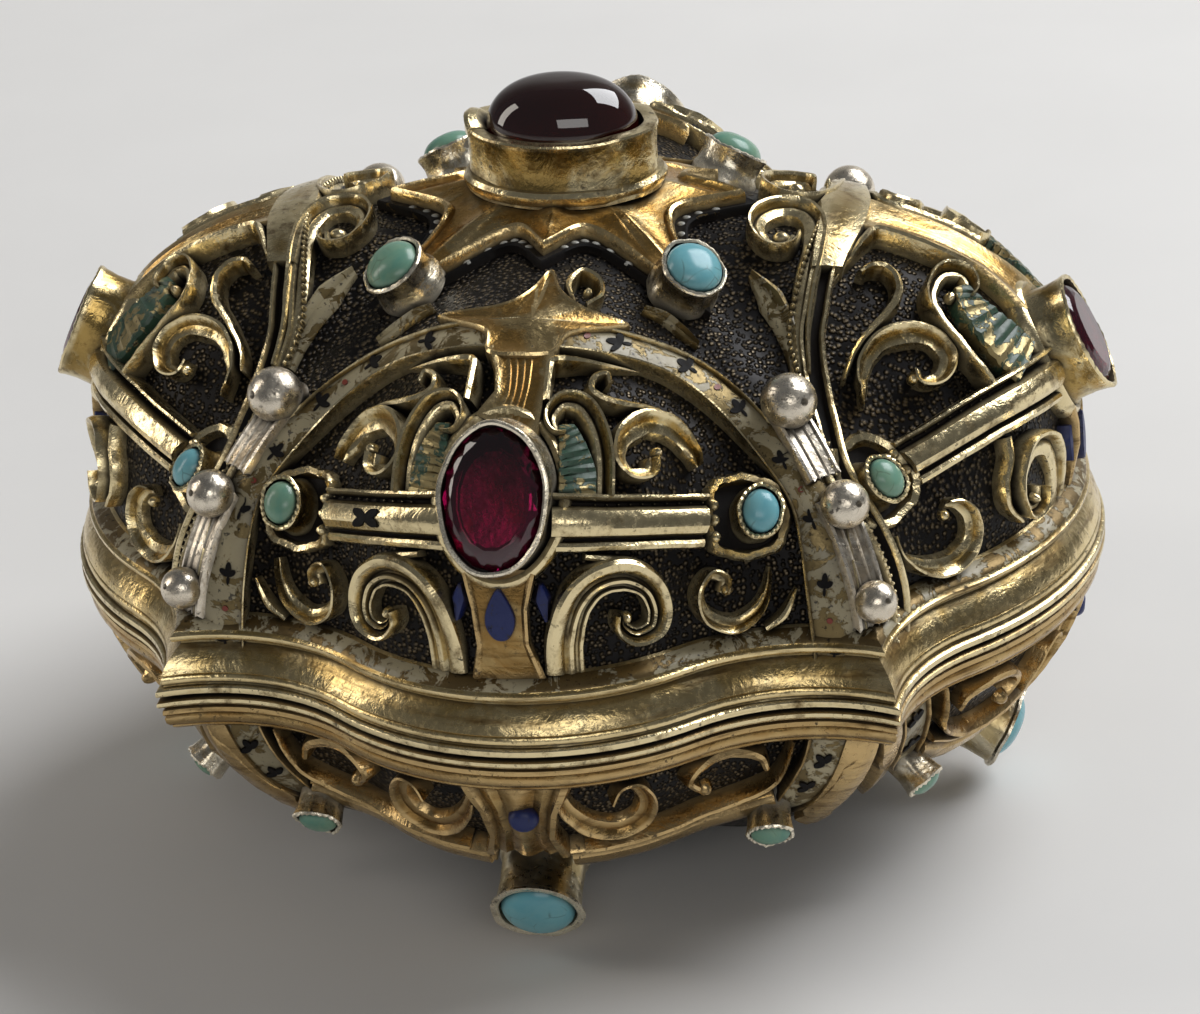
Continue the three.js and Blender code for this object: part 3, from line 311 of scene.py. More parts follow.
class Build:
    """Collects vertices and faces, each face with a material number."""

    def __init__(self):
        self.verts = []
        self.faces = []
        self.marks = []
        self.count = 0

    def add(self, verts, faces, marks):
        self.verts.append(verts)
        self.faces += [[v + self.count for v in face] for face in faces]
        self.marks += marks
        self.count += len(verts)

    def make(self, name, materials, body, nodes, smooth=34):
        mesh = bpy.data.meshes.new(name)
        mesh.from_pydata((np.concatenate(self.verts) * MM).tolist(), [], self.faces)
        for material in materials:
            mesh.materials.append(material)
        mesh.polygons.foreach_set("material_index", self.marks)
        work = bmesh.new()
        work.from_mesh(mesh)
        bmesh.ops.recalc_face_normals(work, faces=work.faces)
        work.to_mesh(mesh)
        work.free()
        mesh.polygons.foreach_set("use_smooth", [True] * len(mesh.polygons))
        mesh.set_sharp_from_angle(angle=math.radians(smooth))
        piece = bpy.data.objects.new(name, mesh)
        bpy.context.scene.collection.objects.link(piece)
        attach(piece, body)
        if nodes:
            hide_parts(*nodes)


def by_ring(marks):
    """Material numbers for whole rings, not for the places along each ring."""
    return np.reshape(marks, (-1, 1))


def rings(build, loops, marks=0, closed=False, caps=True):
    """Quads between rings of points; the ends are capped, or joined when closed."""
    rows = len(loops)
    count = len(loops[0])
    grid = np.broadcast_to(marks, (rows, count)).tolist()
    faces = []
    numbers = []
    for i in range(rows if closed else rows - 1):
        low = i * count
        high = (i + 1) % rows * count
        for j in range(count):
            k = (j + 1) % count
            faces.append([low + j, low + k, high + k, high + j])
            numbers.append(grid[i][j])
    if caps and not closed:
        for i in (0, rows - 1):
            faces.append(list(range(i * count, i * count + count)))
            numbers.append(grid[i][0])
    build.add(np.concatenate(loops), faces, numbers)


def rounded(points, steps, closed=False):
    """Catmull-Rom curve through points of any dimension."""
    points = np.asarray(points, float)
    if closed:
        ends = np.concatenate([points[-1:], points, points[:2]])
    else:
        ends = np.concatenate([[2 * points[0] - points[1]], points, [2 * points[-1] - points[-2]]])
    out = []
    for a, b, c, d in zip(ends, ends[1:], ends[2:], ends[3:]):
        for t in np.arange(steps) / steps:
            out.append(0.5 * (2 * b + (c - a) * t + (2 * a - 5 * b + 4 * c - d) * t ** 2
                              + (3 * b - a - 3 * c + d) * t ** 3))
    if not closed:
        out.append(points[-1])
    return np.array(out)


def run_of(path):
    """The length of a path up to each of its places."""
    return np.concatenate([[0], np.cumsum(np.linalg.norm(np.diff(path, axis=0), axis=1))])


def place_on(path, at):
    """Place or places on a path, at runs along it."""
    run = run_of(path)
    return np.stack([np.interp(at, run, path[:, 0]), np.interp(at, run, path[:, 1])], -1)


def spaced(path, gap):
    """Places along a path, a gap apart."""
    return place_on(path, np.arange(gap / 2, run_of(path)[-1], gap))


def leftwards(s, h):
    """Unit steps to the left of a path."""
    along = np.stack([np.gradient(s), np.gradient(h)], 1)
    along /= np.linalg.norm(along, axis=1)[:, None] + 1e-9
    return np.stack([-along[:, 1], along[:, 0]], 1)


def beside(path, away):
    """The path moved to its left."""
    return path + leftwards(path[:, 0], path[:, 1]) * away


def mirrored(half):
    """A path over both halves of a panel, from the right to the left."""
    return np.concatenate([half, half[:-1][::-1] * np.array([-1, 1])])


# Strap sections: shares of the half width and of the rise, then the material of each face or of all

def both_sides(half):
    """A section from its left half, which ends on the middle or beside it."""
    return half + [(-share, lift) for share, lift in reversed(half) if share]


BAND_SECTION = both_sides([(-1, -0.25), (-1, 0.75), (-0.96, 0.95), (-0.9, 1.0), (-0.84, 0.92), (-0.8, 0.74),
                           (-0.4, 0.8), (0, 0.82)]), [0] * 5 + [1] * 4 + [0] * 6
MILLED_SECTION = [(-1, -0.25), (-1, 0.7), (-0.9, 0.95), (-0.66, 0.95), (-0.56, 0.5), (0, 0.42), (0.4, 0.46),
                  (0.5, 0.8), (0.66, 1.0), (0.86, 1.0), (1, 0.7), (1, -0.25)], [0] * 4 + [2] * 3 + [0] * 5
BAR_SECTION = [(-1, -0.2), (-1, 0.35), (-0.93, 0.62), (-0.78, 0.72), (-0.66, 0.66), (-0.58, 0.46),
               (-0.5, 0.5), (-0.42, 0.82), (-0.18, 1.04), (0.12, 1.08), (0.42, 0.96), (0.56, 0.7),
               (0.62, 0.36), (0.72, 0.36), (0.78, 0.76), (0.86, 0.94), (0.95, 0.92), (1, 0.74),
               (1, -0.2)], [0] * 5 + [1] + [0] * 6 + [1] + [0] * 6
SCROLL_SECTION = [(-1, -0.3), (-1, 0.2), (-0.86, 0.46), (-0.5, 0.6), (-0.1, 0.62), (0.16, 0.54), (0.26, 0.5),
                  (0.38, 0.78), (0.55, 1.0), (0.78, 1.04), (0.94, 0.84), (1, 0.45), (1, -0.3)], 0
VOLUTE_SECTION = [(-1, -0.3), (-1, 0.34), (-0.92, 0.56), (-0.78, 0.6), (-0.68, 0.4), (-0.58, 0.4),
                  (-0.46, 0.68), (-0.28, 0.76), (-0.14, 0.54), (-0.02, 0.5), (0.12, 0.82), (0.36, 1.02),
                  (0.66, 1.08), (0.86, 0.94), (0.97, 0.62), (1, -0.3)], 0
LEAF_SECTION = [(-1, -0.3), (-1, 0.1), (-0.7, 0.44), (-0.25, 0.56), (0.1, 0.58), (0.34, 0.82), (0.62, 1.0),
                (0.86, 0.94), (1, 0.4), (1, -0.3)], 0
ROUND_SECTION = both_sides([(-1, -0.3), (-1, 0.2), (-0.86, 0.6), (-0.55, 0.9), (0, 1.0)]), 0
FLAT_SECTION = both_sides([(-1, -0.25), (-1, 0.75), (-0.94, 0.96), (-0.84, 1.02), (-0.74, 0.84),
                           (0, 0.88)]), 0
FLUTED_SECTION = both_sides([(-1, -0.25), (-1, 0.8), (-0.92, 1.05), (-0.78, 1.05), (-0.68, 0.7),
                             (-0.5, 0.84), (-0.34, 0.64), (-0.12, 0.9), (0, 0.94)]), 0
STEM_SECTION = [(-1, -0.25), (-1, 0.8), (-0.92, 1.0), (-0.8, 0.98), (-0.6, 0.84), (-0.42, 0.86),
                (-0.38, 0.8), (-0.2, 0.84), (-0.16, 0.78), (0.04, 0.84), (0.08, 0.78), (0.26, 0.84),
                (0.3, 0.8), (0.5, 0.86), (0.8, 0.98), (0.92, 1.0), (1, 0.8), (1, -0.25)], 0
PLATE_SECTION = both_sides([(-1, -0.25), (-1, 0.8), (-0.9, 0.98), (-0.5, 1.0), (0, 1.02)]), 0
CHANNEL_SECTION = both_sides([(-1, -0.3), (-1, 0.7), (-0.92, 0.95), (-0.76, 0.98), (-0.66, 0.86),
                              (-0.4, 0.84), (-0.3, 0.92), (-0.2, 0.84)])


def bend(path):
    """1 when the path turns clockwise in the main, else -1."""
    step = np.diff(path, axis=0)
    cross = step[:-1, 0] * step[1:, 1] - step[:-1, 1] * step[1:, 0]
    return -1 if cross.sum() > 0 else 1


def along_path(values, steps):
    values = row(values)
    return np.interp(np.linspace(0, 1, steps), np.linspace(0, 1, len(values)), values)


def ribbon(build, panel, path, width, rise, section, sign=1, marks=None, curl=False, uneven=0.012):
    """A strap of that section along panel places; its high side is its outer side when it curls."""
    run = run_of(path)
    phase = random.uniform(0, 2 * math.pi)
    waver = np.sin(1.9 * run + phase) + 0.6 * np.sin(4.3 * run - phase)
    width = along_path(width, len(path)) * (1 + uneven * waver)
    waver = np.sin(2.4 * run - phase) + 0.7 * np.sin(5.2 * run + phase)
    rise = along_path(rise, len(path)) * (1 + uneven * waver)
    s, h = panel.under(path[:, 0] * sign, path[:, 1], rise)
    across = leftwards(s, h) * sign * (bend(path) if curl else 1)
    low = panel.spot(s - across[:, 0] * width / 2, h - across[:, 1] * width / 2, 0)
    high = panel.spot(s + across[:, 0] * width / 2, h + across[:, 1] * width / 2, 0)
    half = width ** 2 / 2 / np.maximum(np.linalg.norm(high - low, axis=1), 1e-6)
    places, own_marks = section
    columns = []
    for share, lift in places:
        away = across * (share * half)[:, None]
        columns.append(panel.spot(s + away[:, 0], h + away[:, 1], lift * rise))
    rings(build, list(np.stack(columns, 1)), own_marks if marks is None else marks)


def shrinking(panel, edge, profile, rise, sign=1, shake=0.0):
    """Rings that shrink from an outline to its middle; each has its share of the outline and of the rise."""
    middle = edge.mean(axis=0)
    loops = []
    for share, lift in profile:
        place = middle + (edge - middle) * (share * (1 + shake) if share > 0.8 else share)
        s, h = panel.under(place[:, 0] * sign, place[:, 1], rise)
        loops.append(panel.spot(s, h, lift * rise))
    return loops


def patch(build, panel, outline, rise, border=0.0, marks=0):
    """A raised plate that fills an outline of panel places, with a soft edge or a raised border."""
    profile = [(1.0, -0.3), (1.0, 0.6), (0.97, 0.9), (0.92, 1.0), (0.86, 1.0 - border), (0.5, 0.98 - border),
               (0.02, 1.0 - border)]
    rings(build, shrinking(panel, rounded(outline, 5, True), profile, rise), marks)


def dome_points(radius_x, radius_y, base, rise, facets, levels, power=1.0):
    """Rings of a domed oval from its girdle to its tip."""
    turn = circle(facets)
    loops = []
    for a in math.pi / 2 * np.arange(levels) / levels:
        shrink = math.cos(a) ** power
        loops.append(points_at(radius_x * shrink * np.cos(turn), radius_y * shrink * np.sin(turn),
                               base + rise * math.sin(a)))
    return loops


def seat_frame(point, axis, side):
    """A place with three directions, the last along the axis."""
    z = axis / np.linalg.norm(axis)
    y = np.cross(z, side)
    y /= np.linalg.norm(y)
    return point, np.stack([np.cross(y, z), y, z])


def placed(loops, seat):
    origin, basis = seat
    return [loop @ basis + origin for loop in loops]


def dome(build, seat, *shape, marks=0):
    rings(build, placed(dome_points(*shape), seat), marks)


def panel_seat(panel, s, h, axis_turn):
    """Seat of a collet, its axis between the ground's normal and, at 1, the panel's axis."""
    point, normal = panel.ground(s, h)
    axis = normal[0] * (1 - axis_turn) + panel.axis * axis_turn
    return seat_frame(point[0] + normal[0] * GAP, axis, panel.side)


def studs(build, panel, places, radius, lift, sign=1):
    """Small round grains at raised panel places."""
    places = np.asarray(places, float)
    point, normal = panel.ground(*panel.under(places[:, 0] * sign, places[:, 1], lift))
    for spot, way in zip(point, normal):
        seat = seat_frame(spot + way * lift, way, panel.side)
        dome(build, seat, radius, radius, -0.35, radius * 0.9 + 0.35, 10, 5)


def oval(profile, half_x, half_y, facets, wobble=0.0, seed=0.0):
    """Rings of an oval: each profile point is an inset and a height; the wall is slightly uneven by hand."""
    turn = circle(facets)
    uneven = np.sin(2 * turn + seed) + 0.6 * np.sin(5 * turn + 2.1 * seed) + 0.4 * np.sin(9 * turn + seed)
    uneven = wobble * uneven
    loops = []
    for inset, z in profile:
        x = max(half_x - inset, 0.01) * np.cos(turn) * (1 + uneven / half_x)
        y = max(half_y - inset, 0.01) * np.sin(turn) * (1 + uneven / half_y)
        loops.append(points_at(x, y, z + uneven * 0.8))
    return loops


def collet(build, seat, halves, height, wall, floor, facets, wobble, seed, marks=0, foot=1.2, saw=0.0):
    """A thin-walled setting: a flared foot, a tapered wall and a bezel turned in over the stone."""
    profile = [(-0.15, -foot), (-0.1, 0.15), (0.12, 0.5), (0.16, height * 0.55), (0.06, height - 0.5),
               (-0.04, height - 0.14), (0.02, height + 0.02), (wall * 0.5, height + 0.07),
               (wall * 0.95, height - 0.02), (wall * 1.0, height - floor)]
    loops = oval(profile, *halves, facets, wobble, seed)
    for loop in loops[-4:-1]:
        loop[::2, 2] -= saw
    rings(build, placed(loops, seat), marks)


def cabochon(name, node, material, body, seat, halves, base, rise, facets, levels, power=0.8):
    """A smooth domed stone, as a piece of its own."""
    loops = oval([(0.25, base - 0.8)], *halves, facets)
    loops += dome_points(*halves, base, rise, facets, levels, power)
    loops.append(loops[-1] * np.array([0.02, 0.02, 1.0]) + UPWARDS * 0.004 * rise)
    build = Build()
    rings(build, placed(loops, seat))
    build.make(name, [material], body, [node])


# Materials

MIX_SHARE, MIX_A, MIX_B, MIX_RESULT = 0, 6, 7, 2


class Shader:
    """One procedural material, and short calls that add its nodes."""

    def __init__(self, name):
        self.material = bpy.data.materials.new(name)
        self.material.use_nodes = True
        self.tree = self.material.node_tree
        self.tree.nodes.clear()
        output = self.tree.nodes.new("ShaderNodeOutputMaterial")
        self.surface = self.tree.nodes.new("ShaderNodeBsdfPrincipled")
        self.tree.links.new(self.surface.outputs["BSDF"], output.inputs["Surface"])
        self.place = self.node("TexCoord", "Object")

    def feed(self, socket, value):
        """Links a socket to a node's output, or sets it to a value."""
        if isinstance(value, bpy.types.NodeSocket):
            self.tree.links.new(value, socket)
        else:
            socket.default_value = (*value, 1.0) if socket.type == "RGBA" else value

    def put(self, name, value):
        self.feed(self.surface.inputs[name], value)

    def node(self, kind, output, sockets=None, **settings):
        node = self.tree.nodes.new("ShaderNode" + kind)
        for key, value in settings.items():
            setattr(node, key, value)
        for key, value in (sockets or {}).items():
            self.feed(node.inputs[key], value)
        return node.outputs[output]

    def noise(self, scale, detail, rough=0.55, distortion=0.0, place=None):
        return self.node("TexNoise", "Fac", {"Vector": place or self.place, "Scale": scale, "Detail": detail,
                                             "Roughness": rough, "Distortion": distortion})

    def cells(self, scale, feature, jitter=1.0):
        sockets = {"Vector": self.place, "Scale": scale, "Randomness": jitter}
        return self.node("TexVoronoi", "Distance", sockets, feature=feature)

    def span(self, value, low, high, start=0.0, end=1.0):
        return self.node("MapRange", "Result", {"Value": value, "From Min": low, "From Max": high,
                                                "To Min": start, "To Max": end})

    def math(self, operation, a, b, clamp=False):
        return self.node("Math", "Value", {0: a, 1: b}, operation=operation, use_clamp=clamp)

    def plus(self, a, b):
        return self.math("ADD", a, b)

    def times(self, a, b):
        return self.math("MULTIPLY", a, b, True)

    def most(self, a, b):
        return self.math("MAXIMUM", a, b, True)

    def mix(self, share, a, b):
        return self.node("Mix", MIX_RESULT, {MIX_SHARE: share, MIX_A: a, MIX_B: b}, data_type="RGBA")

    def crevice_shade(self, distance):
        """Painted shade from ambient occlusion: 0 in the open and 1 deep in narrow hollows."""
        open_share = self.node("AmbientOcclusion", "AO", {"Distance": distance}, samples=8)
        return self.span(open_share, 0.3, 0.9, 1.0, 0.0)

    def bump(self, height, strength, distance, normal=None):
        sockets = {"Strength": strength, "Distance": distance, "Height": height}
        if normal:
            sockets["Normal"] = normal
        return self.node("Bump", "Normal", sockets)


def worn_metal(name, gold, worn, worn_share, rough, grime_share, streaks=False, shade_and_speck_share=1.0):
    """Gilt silver: pale worn patches, edges lightened both as worn metal and as a painted highlight, a dull
    brown film, and black hollows that are painted shade standing also for their tarnish.
    """
    n = Shader(name)
    patches = n.noise(240, 5, 0.62, 0.5)
    if streaks:
        stretched = n.node("Mapping", "Vector", {"Vector": n.place, "Scale": (150, 150, 1300)})
        grime = n.noise(1.0, 5, 0.66, place=stretched)
    else:
        grime = n.noise(620, 5, 0.68)
    fine = n.noise(1900, 4, 0.66)
    level = 0.68 - 0.36 * worn_share
    colour = n.mix(n.span(patches, level - 0.05, level + 0.05), gold, worn)
    # Pointiness lightens the edges: worn metal on them, and a painted highlight brighter than the worn
    # colour.
    edges = n.node("NewGeometry", "Pointiness")
    bright = tuple(min(1.0, c * 1.35 + 0.04) for c in worn)
    colour = n.mix(n.times(n.span(edges, 0.502, 0.535), 0.9), colour, bright)
    level = 0.66 - 0.24 * grime_share
    film = n.times(n.span(grime, level, level + 0.2), 0.85)
    colour = n.mix(film, colour, (gold[0] * 0.22, gold[1] * 0.17, gold[2] * 0.12))
    specks = n.times(n.span(fine, 0.6, 0.66), n.span(patches, 0.4, 0.6))
    # Black: painted shade from ambient occlusion in the hollows, standing also for their tarnish, with dark
    # specks; the last argument scales both.
    black = n.times(n.most(n.crevice_shade(0.0013), n.times(specks, 0.8)), shade_and_speck_share)
    n.put("Base Color", n.mix(black, colour, (0.012, 0.009, 0.007)))
    n.put("Metallic", n.math("SUBTRACT", 1.0, n.times(black, 0.6)))
    dull = n.plus(n.times(film, 0.2), n.times(black, 0.3))
    n.put("Roughness", n.plus(n.span(fine, 0.3, 0.7, rough - 0.05, rough + 0.1), dull))
    dents = n.bump(patches, 0.4, 0.0005)
    n.put("Normal", n.bump(n.plus(fine, n.times(grime, 0.6)), 0.4, 0.00007, dents))
    return n.material


def punched_ground():
    """Blackened silver covered in fine raised grains, darker between them, with a painted glint of lighter
    colour on a few grain tops.
    """
    n = Shader("punched_ground")
    cells = n.cells(2500, "F1", 0.85)
    patches = n.noise(330, 4, 0.6)
    grain = n.span(cells, 0.58, 0.2)
    # Painted glints: a few grain tops, in patches, are given a lighter colour.
    painted_glints = n.times(n.span(grain, 0.5, 0.95), n.span(patches, 0.30, 0.62, 0.15, 0.95))
    # Darker between the grains and lighter on their tops.
    darker_between_grains = n.mix(grain, (0.006, 0.005, 0.005), (0.050, 0.040, 0.030))
    n.put("Base Color", n.mix(painted_glints, darker_between_grains, (0.19, 0.15, 0.095)))
    n.put("Metallic", 0.7)
    n.put("Roughness", n.span(patches, 0.3, 0.7, 0.36, 0.55))
    n.put("Normal", n.bump(grain, 1.0, 0.0003))
    return n.material


def inner_silver():
    n = Shader("inner_silver")
    patches = n.noise(180, 4, 0.6)
    fine = n.noise(2600, 3, 0.6)
    n.put("Base Color", n.mix(n.span(patches, 0.35, 0.65), (0.60, 0.45, 0.22), (0.64, 0.55, 0.38)))
    n.put("Metallic", 1.0)
    n.put("Roughness", n.span(fine, 0.3, 0.7, 0.28, 0.44))
    n.put("Normal", n.bump(patches, 0.3, 0.0006))
    return n.material


def enamel(name, colour, worn, worn_share, gloss=0.32):
    """Opaque enamel, flaked down to dull gold in patches, pitted, and with painted shade in its corners."""
    n = Shader(name)
    patches = n.noise(480, 6, 0.7, 0.6)
    clouds = n.noise(140, 3, 0.5)
    pits = n.noise(2300, 4, 0.66)
    level = 0.68 - 0.34 * worn_share
    chips = n.span(patches, level, level + 0.025)
    shade = n.mix(n.span(clouds, 0.3, 0.7), colour, tuple(c * 0.6 for c in colour))
    shade = n.mix(chips, shade, worn)
    # Black: the real pits, and painted shade from ambient occlusion in the corners.
    black = n.most(n.times(n.span(pits, 0.6, 0.66), 0.85), n.times(n.crevice_shade(0.0008), 0.9))
    n.put("Base Color", n.mix(black, shade, (0.016, 0.012, 0.009)))
    n.put("Metallic", n.times(chips, 0.75))
    n.put("Roughness", n.span(pits, 0.3, 0.7, gloss - 0.06, gloss + 0.14))
    n.put("Specular IOR Level", 0.5 if gloss < 0.5 else 0.15)
    n.put("Normal", n.bump(n.math("SUBTRACT", n.times(pits, 0.4), chips), 0.6, 0.00012))
    return n.material


def turquoise(name, colour, other):
    n = Shader(name)
    clouds = n.noise(420, 4, 0.6, 0.5)
    veins = n.cells(520, "DISTANCE_TO_EDGE")
    vein = n.times(n.span(veins, 0.03, 0.0), n.span(clouds, 0.5, 0.6))
    shade = n.mix(n.span(clouds, 0.35, 0.65), colour, other)
    shade = n.mix(n.times(vein, 0.45), shade, (0.05, 0.04, 0.025))
    # Painted shade from ambient occlusion darkens the stone where it meets its setting.
    n.put("Base Color", n.mix(n.times(n.crevice_shade(0.0007), 0.8), shade, (0.03, 0.03, 0.022)))
    n.put("Roughness", 0.24)
    n.put("Subsurface Weight", 0.08)
    n.put("Subsurface Radius", (0.0004, 0.0006, 0.0006))
    n.put("Subsurface Scale", 0.5)
    n.put("Normal", n.bump(n.noise(1500, 3), 0.15, 0.00008))
    return n.material


def garnet(name, colour, deep, low, high, transmission):
    """Clear red stone with painted light, darker towards its top for the dark reflection on its table and
    brighter red lower down for the glow from inside: low and high are heights in the part.
    """
    n = Shader(name)
    rise = n.span(n.node("SeparateXYZ", "Z", {"Vector": n.place}), low * MM, high * MM)
    share = n.math("ADD", rise, n.span(n.noise(260, 3, 0.5), 0.3, 0.7, -0.15, 0.15), True)
    # Painted light: the first colour glows low in the stone and the second colour darkens its top.
    n.put("Base Color", n.mix(share, colour, deep))
    n.put("Roughness", 0.03)
    n.put("IOR", 1.76)
    n.put("Transmission Weight", transmission)
    return n.material


M_GILT = worn_metal("worn_gilt", (0.44, 0.30, 0.10), (0.62, 0.52, 0.30), 0.4, 0.18, 0.62)
M_RIM = worn_metal("rim_gilt", (0.48, 0.34, 0.13), (0.60, 0.48, 0.25), 0.4, 0.2, 0.72, True)
# A darker, warmer copy of the gilt for the base and for the straps below the lid's garnets: partly their own
# brown-gold tone, partly a painted warm reflection from below.
M_LOW_GILT_WARM_REFLECTION = worn_metal("bronze_gilt", (0.31, 0.185, 0.06), (0.42, 0.29, 0.12), 0.4, 0.2, 0.6, True)
# A warmer copy of the gilt with a painted warm reflection: on the crown plate, the stems, the gable and the
# plates on the side arches.
M_GILT_WARM_REFLECTION = worn_metal("warm_gilt", (0.50, 0.30, 0.09), (0.53, 0.40, 0.19), 0.4, 0.22, 0.4)
M_SILVER = worn_metal("bead_silver", (0.50, 0.41, 0.29), (0.62, 0.56, 0.46), 0.6, 0.26, 0.4)
M_BEZEL = worn_metal("bezel_silver", (0.46, 0.35, 0.18), (0.68, 0.62, 0.49), 0.65, 0.24, 0.4)
M_POLISHED = worn_metal("polished_silver_gilt", (0.58, 0.46, 0.24), (0.72, 0.64, 0.46), 0.5, 0.28, 0.15,
                        shade_and_speck_share=0.2)
M_GROUND = punched_ground()
M_INSIDE = inner_silver()
M_CREAM = enamel("cream_enamel", (0.43, 0.37, 0.23), (0.19, 0.14, 0.06), 0.52)
M_LEDGE = enamel("ledge_enamel", (0.50, 0.44, 0.29), (0.16, 0.11, 0.045), 0.6)
M_BLACK = enamel("black_enamel", (0.008, 0.007, 0.007), (0.10, 0.07, 0.03), 0.1, 0.6)
M_RED = enamel("red_enamel", (0.26, 0.040, 0.02), (0.2, 0.1, 0.05), 0.1)
M_BLUE = enamel("blue_enamel", (0.006, 0.018, 0.13), (0.04, 0.04, 0.07), 0.12, 0.4)
M_GREEN = enamel("green_enamel", (0.045, 0.10, 0.065), (0.36, 0.29, 0.14), 0.55)
M_WHITE = enamel("white_enamel", (0.46, 0.46, 0.42), (0.3, 0.27, 0.2), 0.1)
M_TURQUOISE = turquoise("turquoise_blue", (0.14, 0.40, 0.47), (0.20, 0.46, 0.50))
M_TURQUOISE_GREEN = turquoise("turquoise_green", (0.13, 0.30, 0.23), (0.21, 0.35, 0.24))
# Garnets: a lower colour, a darker top colour painted for the light, the heights between them and the
# transmission.
M_GARNET = garnet("garnet_wine", (0.36, 0.004, 0.075), (0.06, 0.001, 0.010), 34.0, 41.0, 0.9)
M_CROWN = garnet("garnet_brown", (0.060, 0.005, 0.004), (0.025, 0.003, 0.002), 49.0, 54.0, 0.55)


# Shells and mouldings

def ground_ring(inset, corner_reach, height, scale=np.ones_like):
    outline = plan_outline(inset, corner_reach)
    factor = scale(np.arctan2(outline[:, 1], outline[:, 0]))
    return points_at(outline[:, 0] * factor, outline[:, 1] * factor, height)


def wall_ring(wall, height, scale=np.ones_like):
    return ground_ring(GROUND_INSET + wall, CORNER_REACH - wall, height, scale)


def lid_ring(wall, share):
    def scale(angle):
        full = lid_fullness(angle)
        return (1 - share ** full) ** (1 / full)
    return wall_ring(wall, SEAM_HEIGHT + LID_SPRING + (LID_RISE - wall) * share, scale)


def base_ring(wall, depth):
    share = min(depth / (BASE_DROP - wall), 0.995)
    shrink = (1 - share ** BASE_FULLNESS) ** (1 / BASE_FULLNESS)
    return wall_ring(wall, SEAM_HEIGHT - BASE_SPRING - depth, lambda angle: np.full_like(angle, shrink))


def shell(name, inside, outside, body, node):
    """A walled bowl from rings on its inside and its outside, which meet at the seam."""
    build = Build()
    rings(build, inside[::-1] + outside, by_ring([1] * len(inside) + [0] * len(outside)))
    build.make(name, [M_GROUND, M_INSIDE], body, [node], 50)


def lid_shell():
    walls = []
    for wall, steps, top in [(WALL, 16, 0.998), (0, 30, 0.9995)]:
        shares = [math.sin(math.pi / 2 * i / steps) ** 0.8 for i in range(steps)] + [top]
        walls.append([wall_ring(wall, SEAM_HEIGHT + SEAM_GAP / 2)] + [lid_ring(wall, q) for q in shares])
    shell("lid_dome", *walls, "lid", "lid_shell")


def base_shell():
    depth = SEAM_HEIGHT - BASE_SPRING - FOOT_HEIGHT - GAP + 0.35
    high = SEAM_HEIGHT - SEAM_GAP / 2
    shares = np.linspace(0, 1, 20)
    outside = [wall_ring(0, high)] + [base_ring(0, depth * q) for q in shares]
    inside = [wall_ring(WALL, high)] + [base_ring(WALL, (depth - WALL) * q) for q in [*shares[::2], 1]]
    shell("base_bowl", inside, outside, "base", "base_shell")


def moulding(name, profile, materials, body, node, marks=0, corner_reach=NO_CUT):
    """A closed profile of insets and heights carried round the plan outline."""
    build = Build()
    loops = []
    for inset, up in profile:
        loops.append(ground_ring(inset, corner_reach - inset, SEAM_HEIGHT + up))
    rings(build, loops, by_ring(marks), True)
    build.make(name, materials, body, [node], 40)


def rims():
    low = SEAM_GAP / 2
    inner = GROUND_INSET - 0.02
    lid_profile = [(inner, low), (0.12, low), (0.0, low + 0.1), (-0.02, 0.4), (0.0, 0.62), (0.14, 0.74),
                   (0.38, 0.76), (0.46, 0.88), (0.3, 1.0), (0.26, 1.2), (0.36, 1.45), (0.42, 1.5),
                   (0.36, 1.62), (0.5, 2.0), (0.76, 2.45), (1.1, 2.9), (1.4, 3.2), (1.58, 3.36), (1.6, 3.5),
                   (1.38, 3.6), (1.12, 3.74), (1.0, 3.95), (1.02, 4.15), (1.2, 4.26), (1.26, 4.4),
                   (1.5, 4.66), (1.8, 4.84), (2.3, 5.08), (inner, 5.18)]
    moulding("lid_moulding", lid_profile, [M_RIM, M_LEDGE, M_GILT], "lid", "lid_rim",
             [0] * 2 + [2] * 3 + [0] * 19 + [1] * 3 + [0] * 2)
    high = -SEAM_GAP / 2
    base_profile = [(inner, high), (0.12, high), (0.0, high - 0.1), (-0.02, high - 0.34), (0.1, high - 0.5),
                    (0.36, high - 0.55), (0.4, -0.86), (0.24, -0.98), (0.22, -1.3), (0.36, -1.46),
                    (0.3, -1.62), (0.36, -2.0), (0.55, -2.3), (0.66, -2.34), (0.66, -2.5), (0.9, -2.72),
                    (1.3, -2.86), (1.8, -3.06), (inner, -3.1)]
    moulding("base_moulding", base_profile, [M_LOW_GILT_WARM_REFLECTION, M_GILT], "base", "base_rim",
             [0] * 2 + [1] * 2 + [0] * 15)
    outer = GROUND_INSET + WALL + GUIDE_CLEARANCE
    guide = [(outer, -BASE_SPRING), (outer, 1.8), (outer + 0.1, 1.95), (outer + 0.3, 2.0), (outer + 0.7, 2.0),
             (outer + 0.8, 1.9), (outer + 0.8, -BASE_SPRING)]
    moulding("lid_guide", guide, [M_INSIDE], "base", "locating_flange", 0, CORNER_REACH + GROUND_INSET)
    build = Build()
    turn = circle(96)
    foot = [(0.3, 0.0), (9.0, 0.0), (9.6, 0.12), (10.2, 0.0), (10.7, 0.0), (FOOT_RADIUS, 0.25),
            (FOOT_RADIUS, 0.75), (10.8, 1.0), (10.2, 1.05), (0.3, 1.05)]
    rings(build, [points_at(radius * np.cos(turn), radius * np.sin(turn), z) for radius, z in foot])
    build.make("foot_disc", [M_RIM], "base", ["foot_plate"])


# Lid panels: paths hold places where the raised metal shows, for the right half of a panel.
# A scroll is its path, widths along it, its rise and its section.

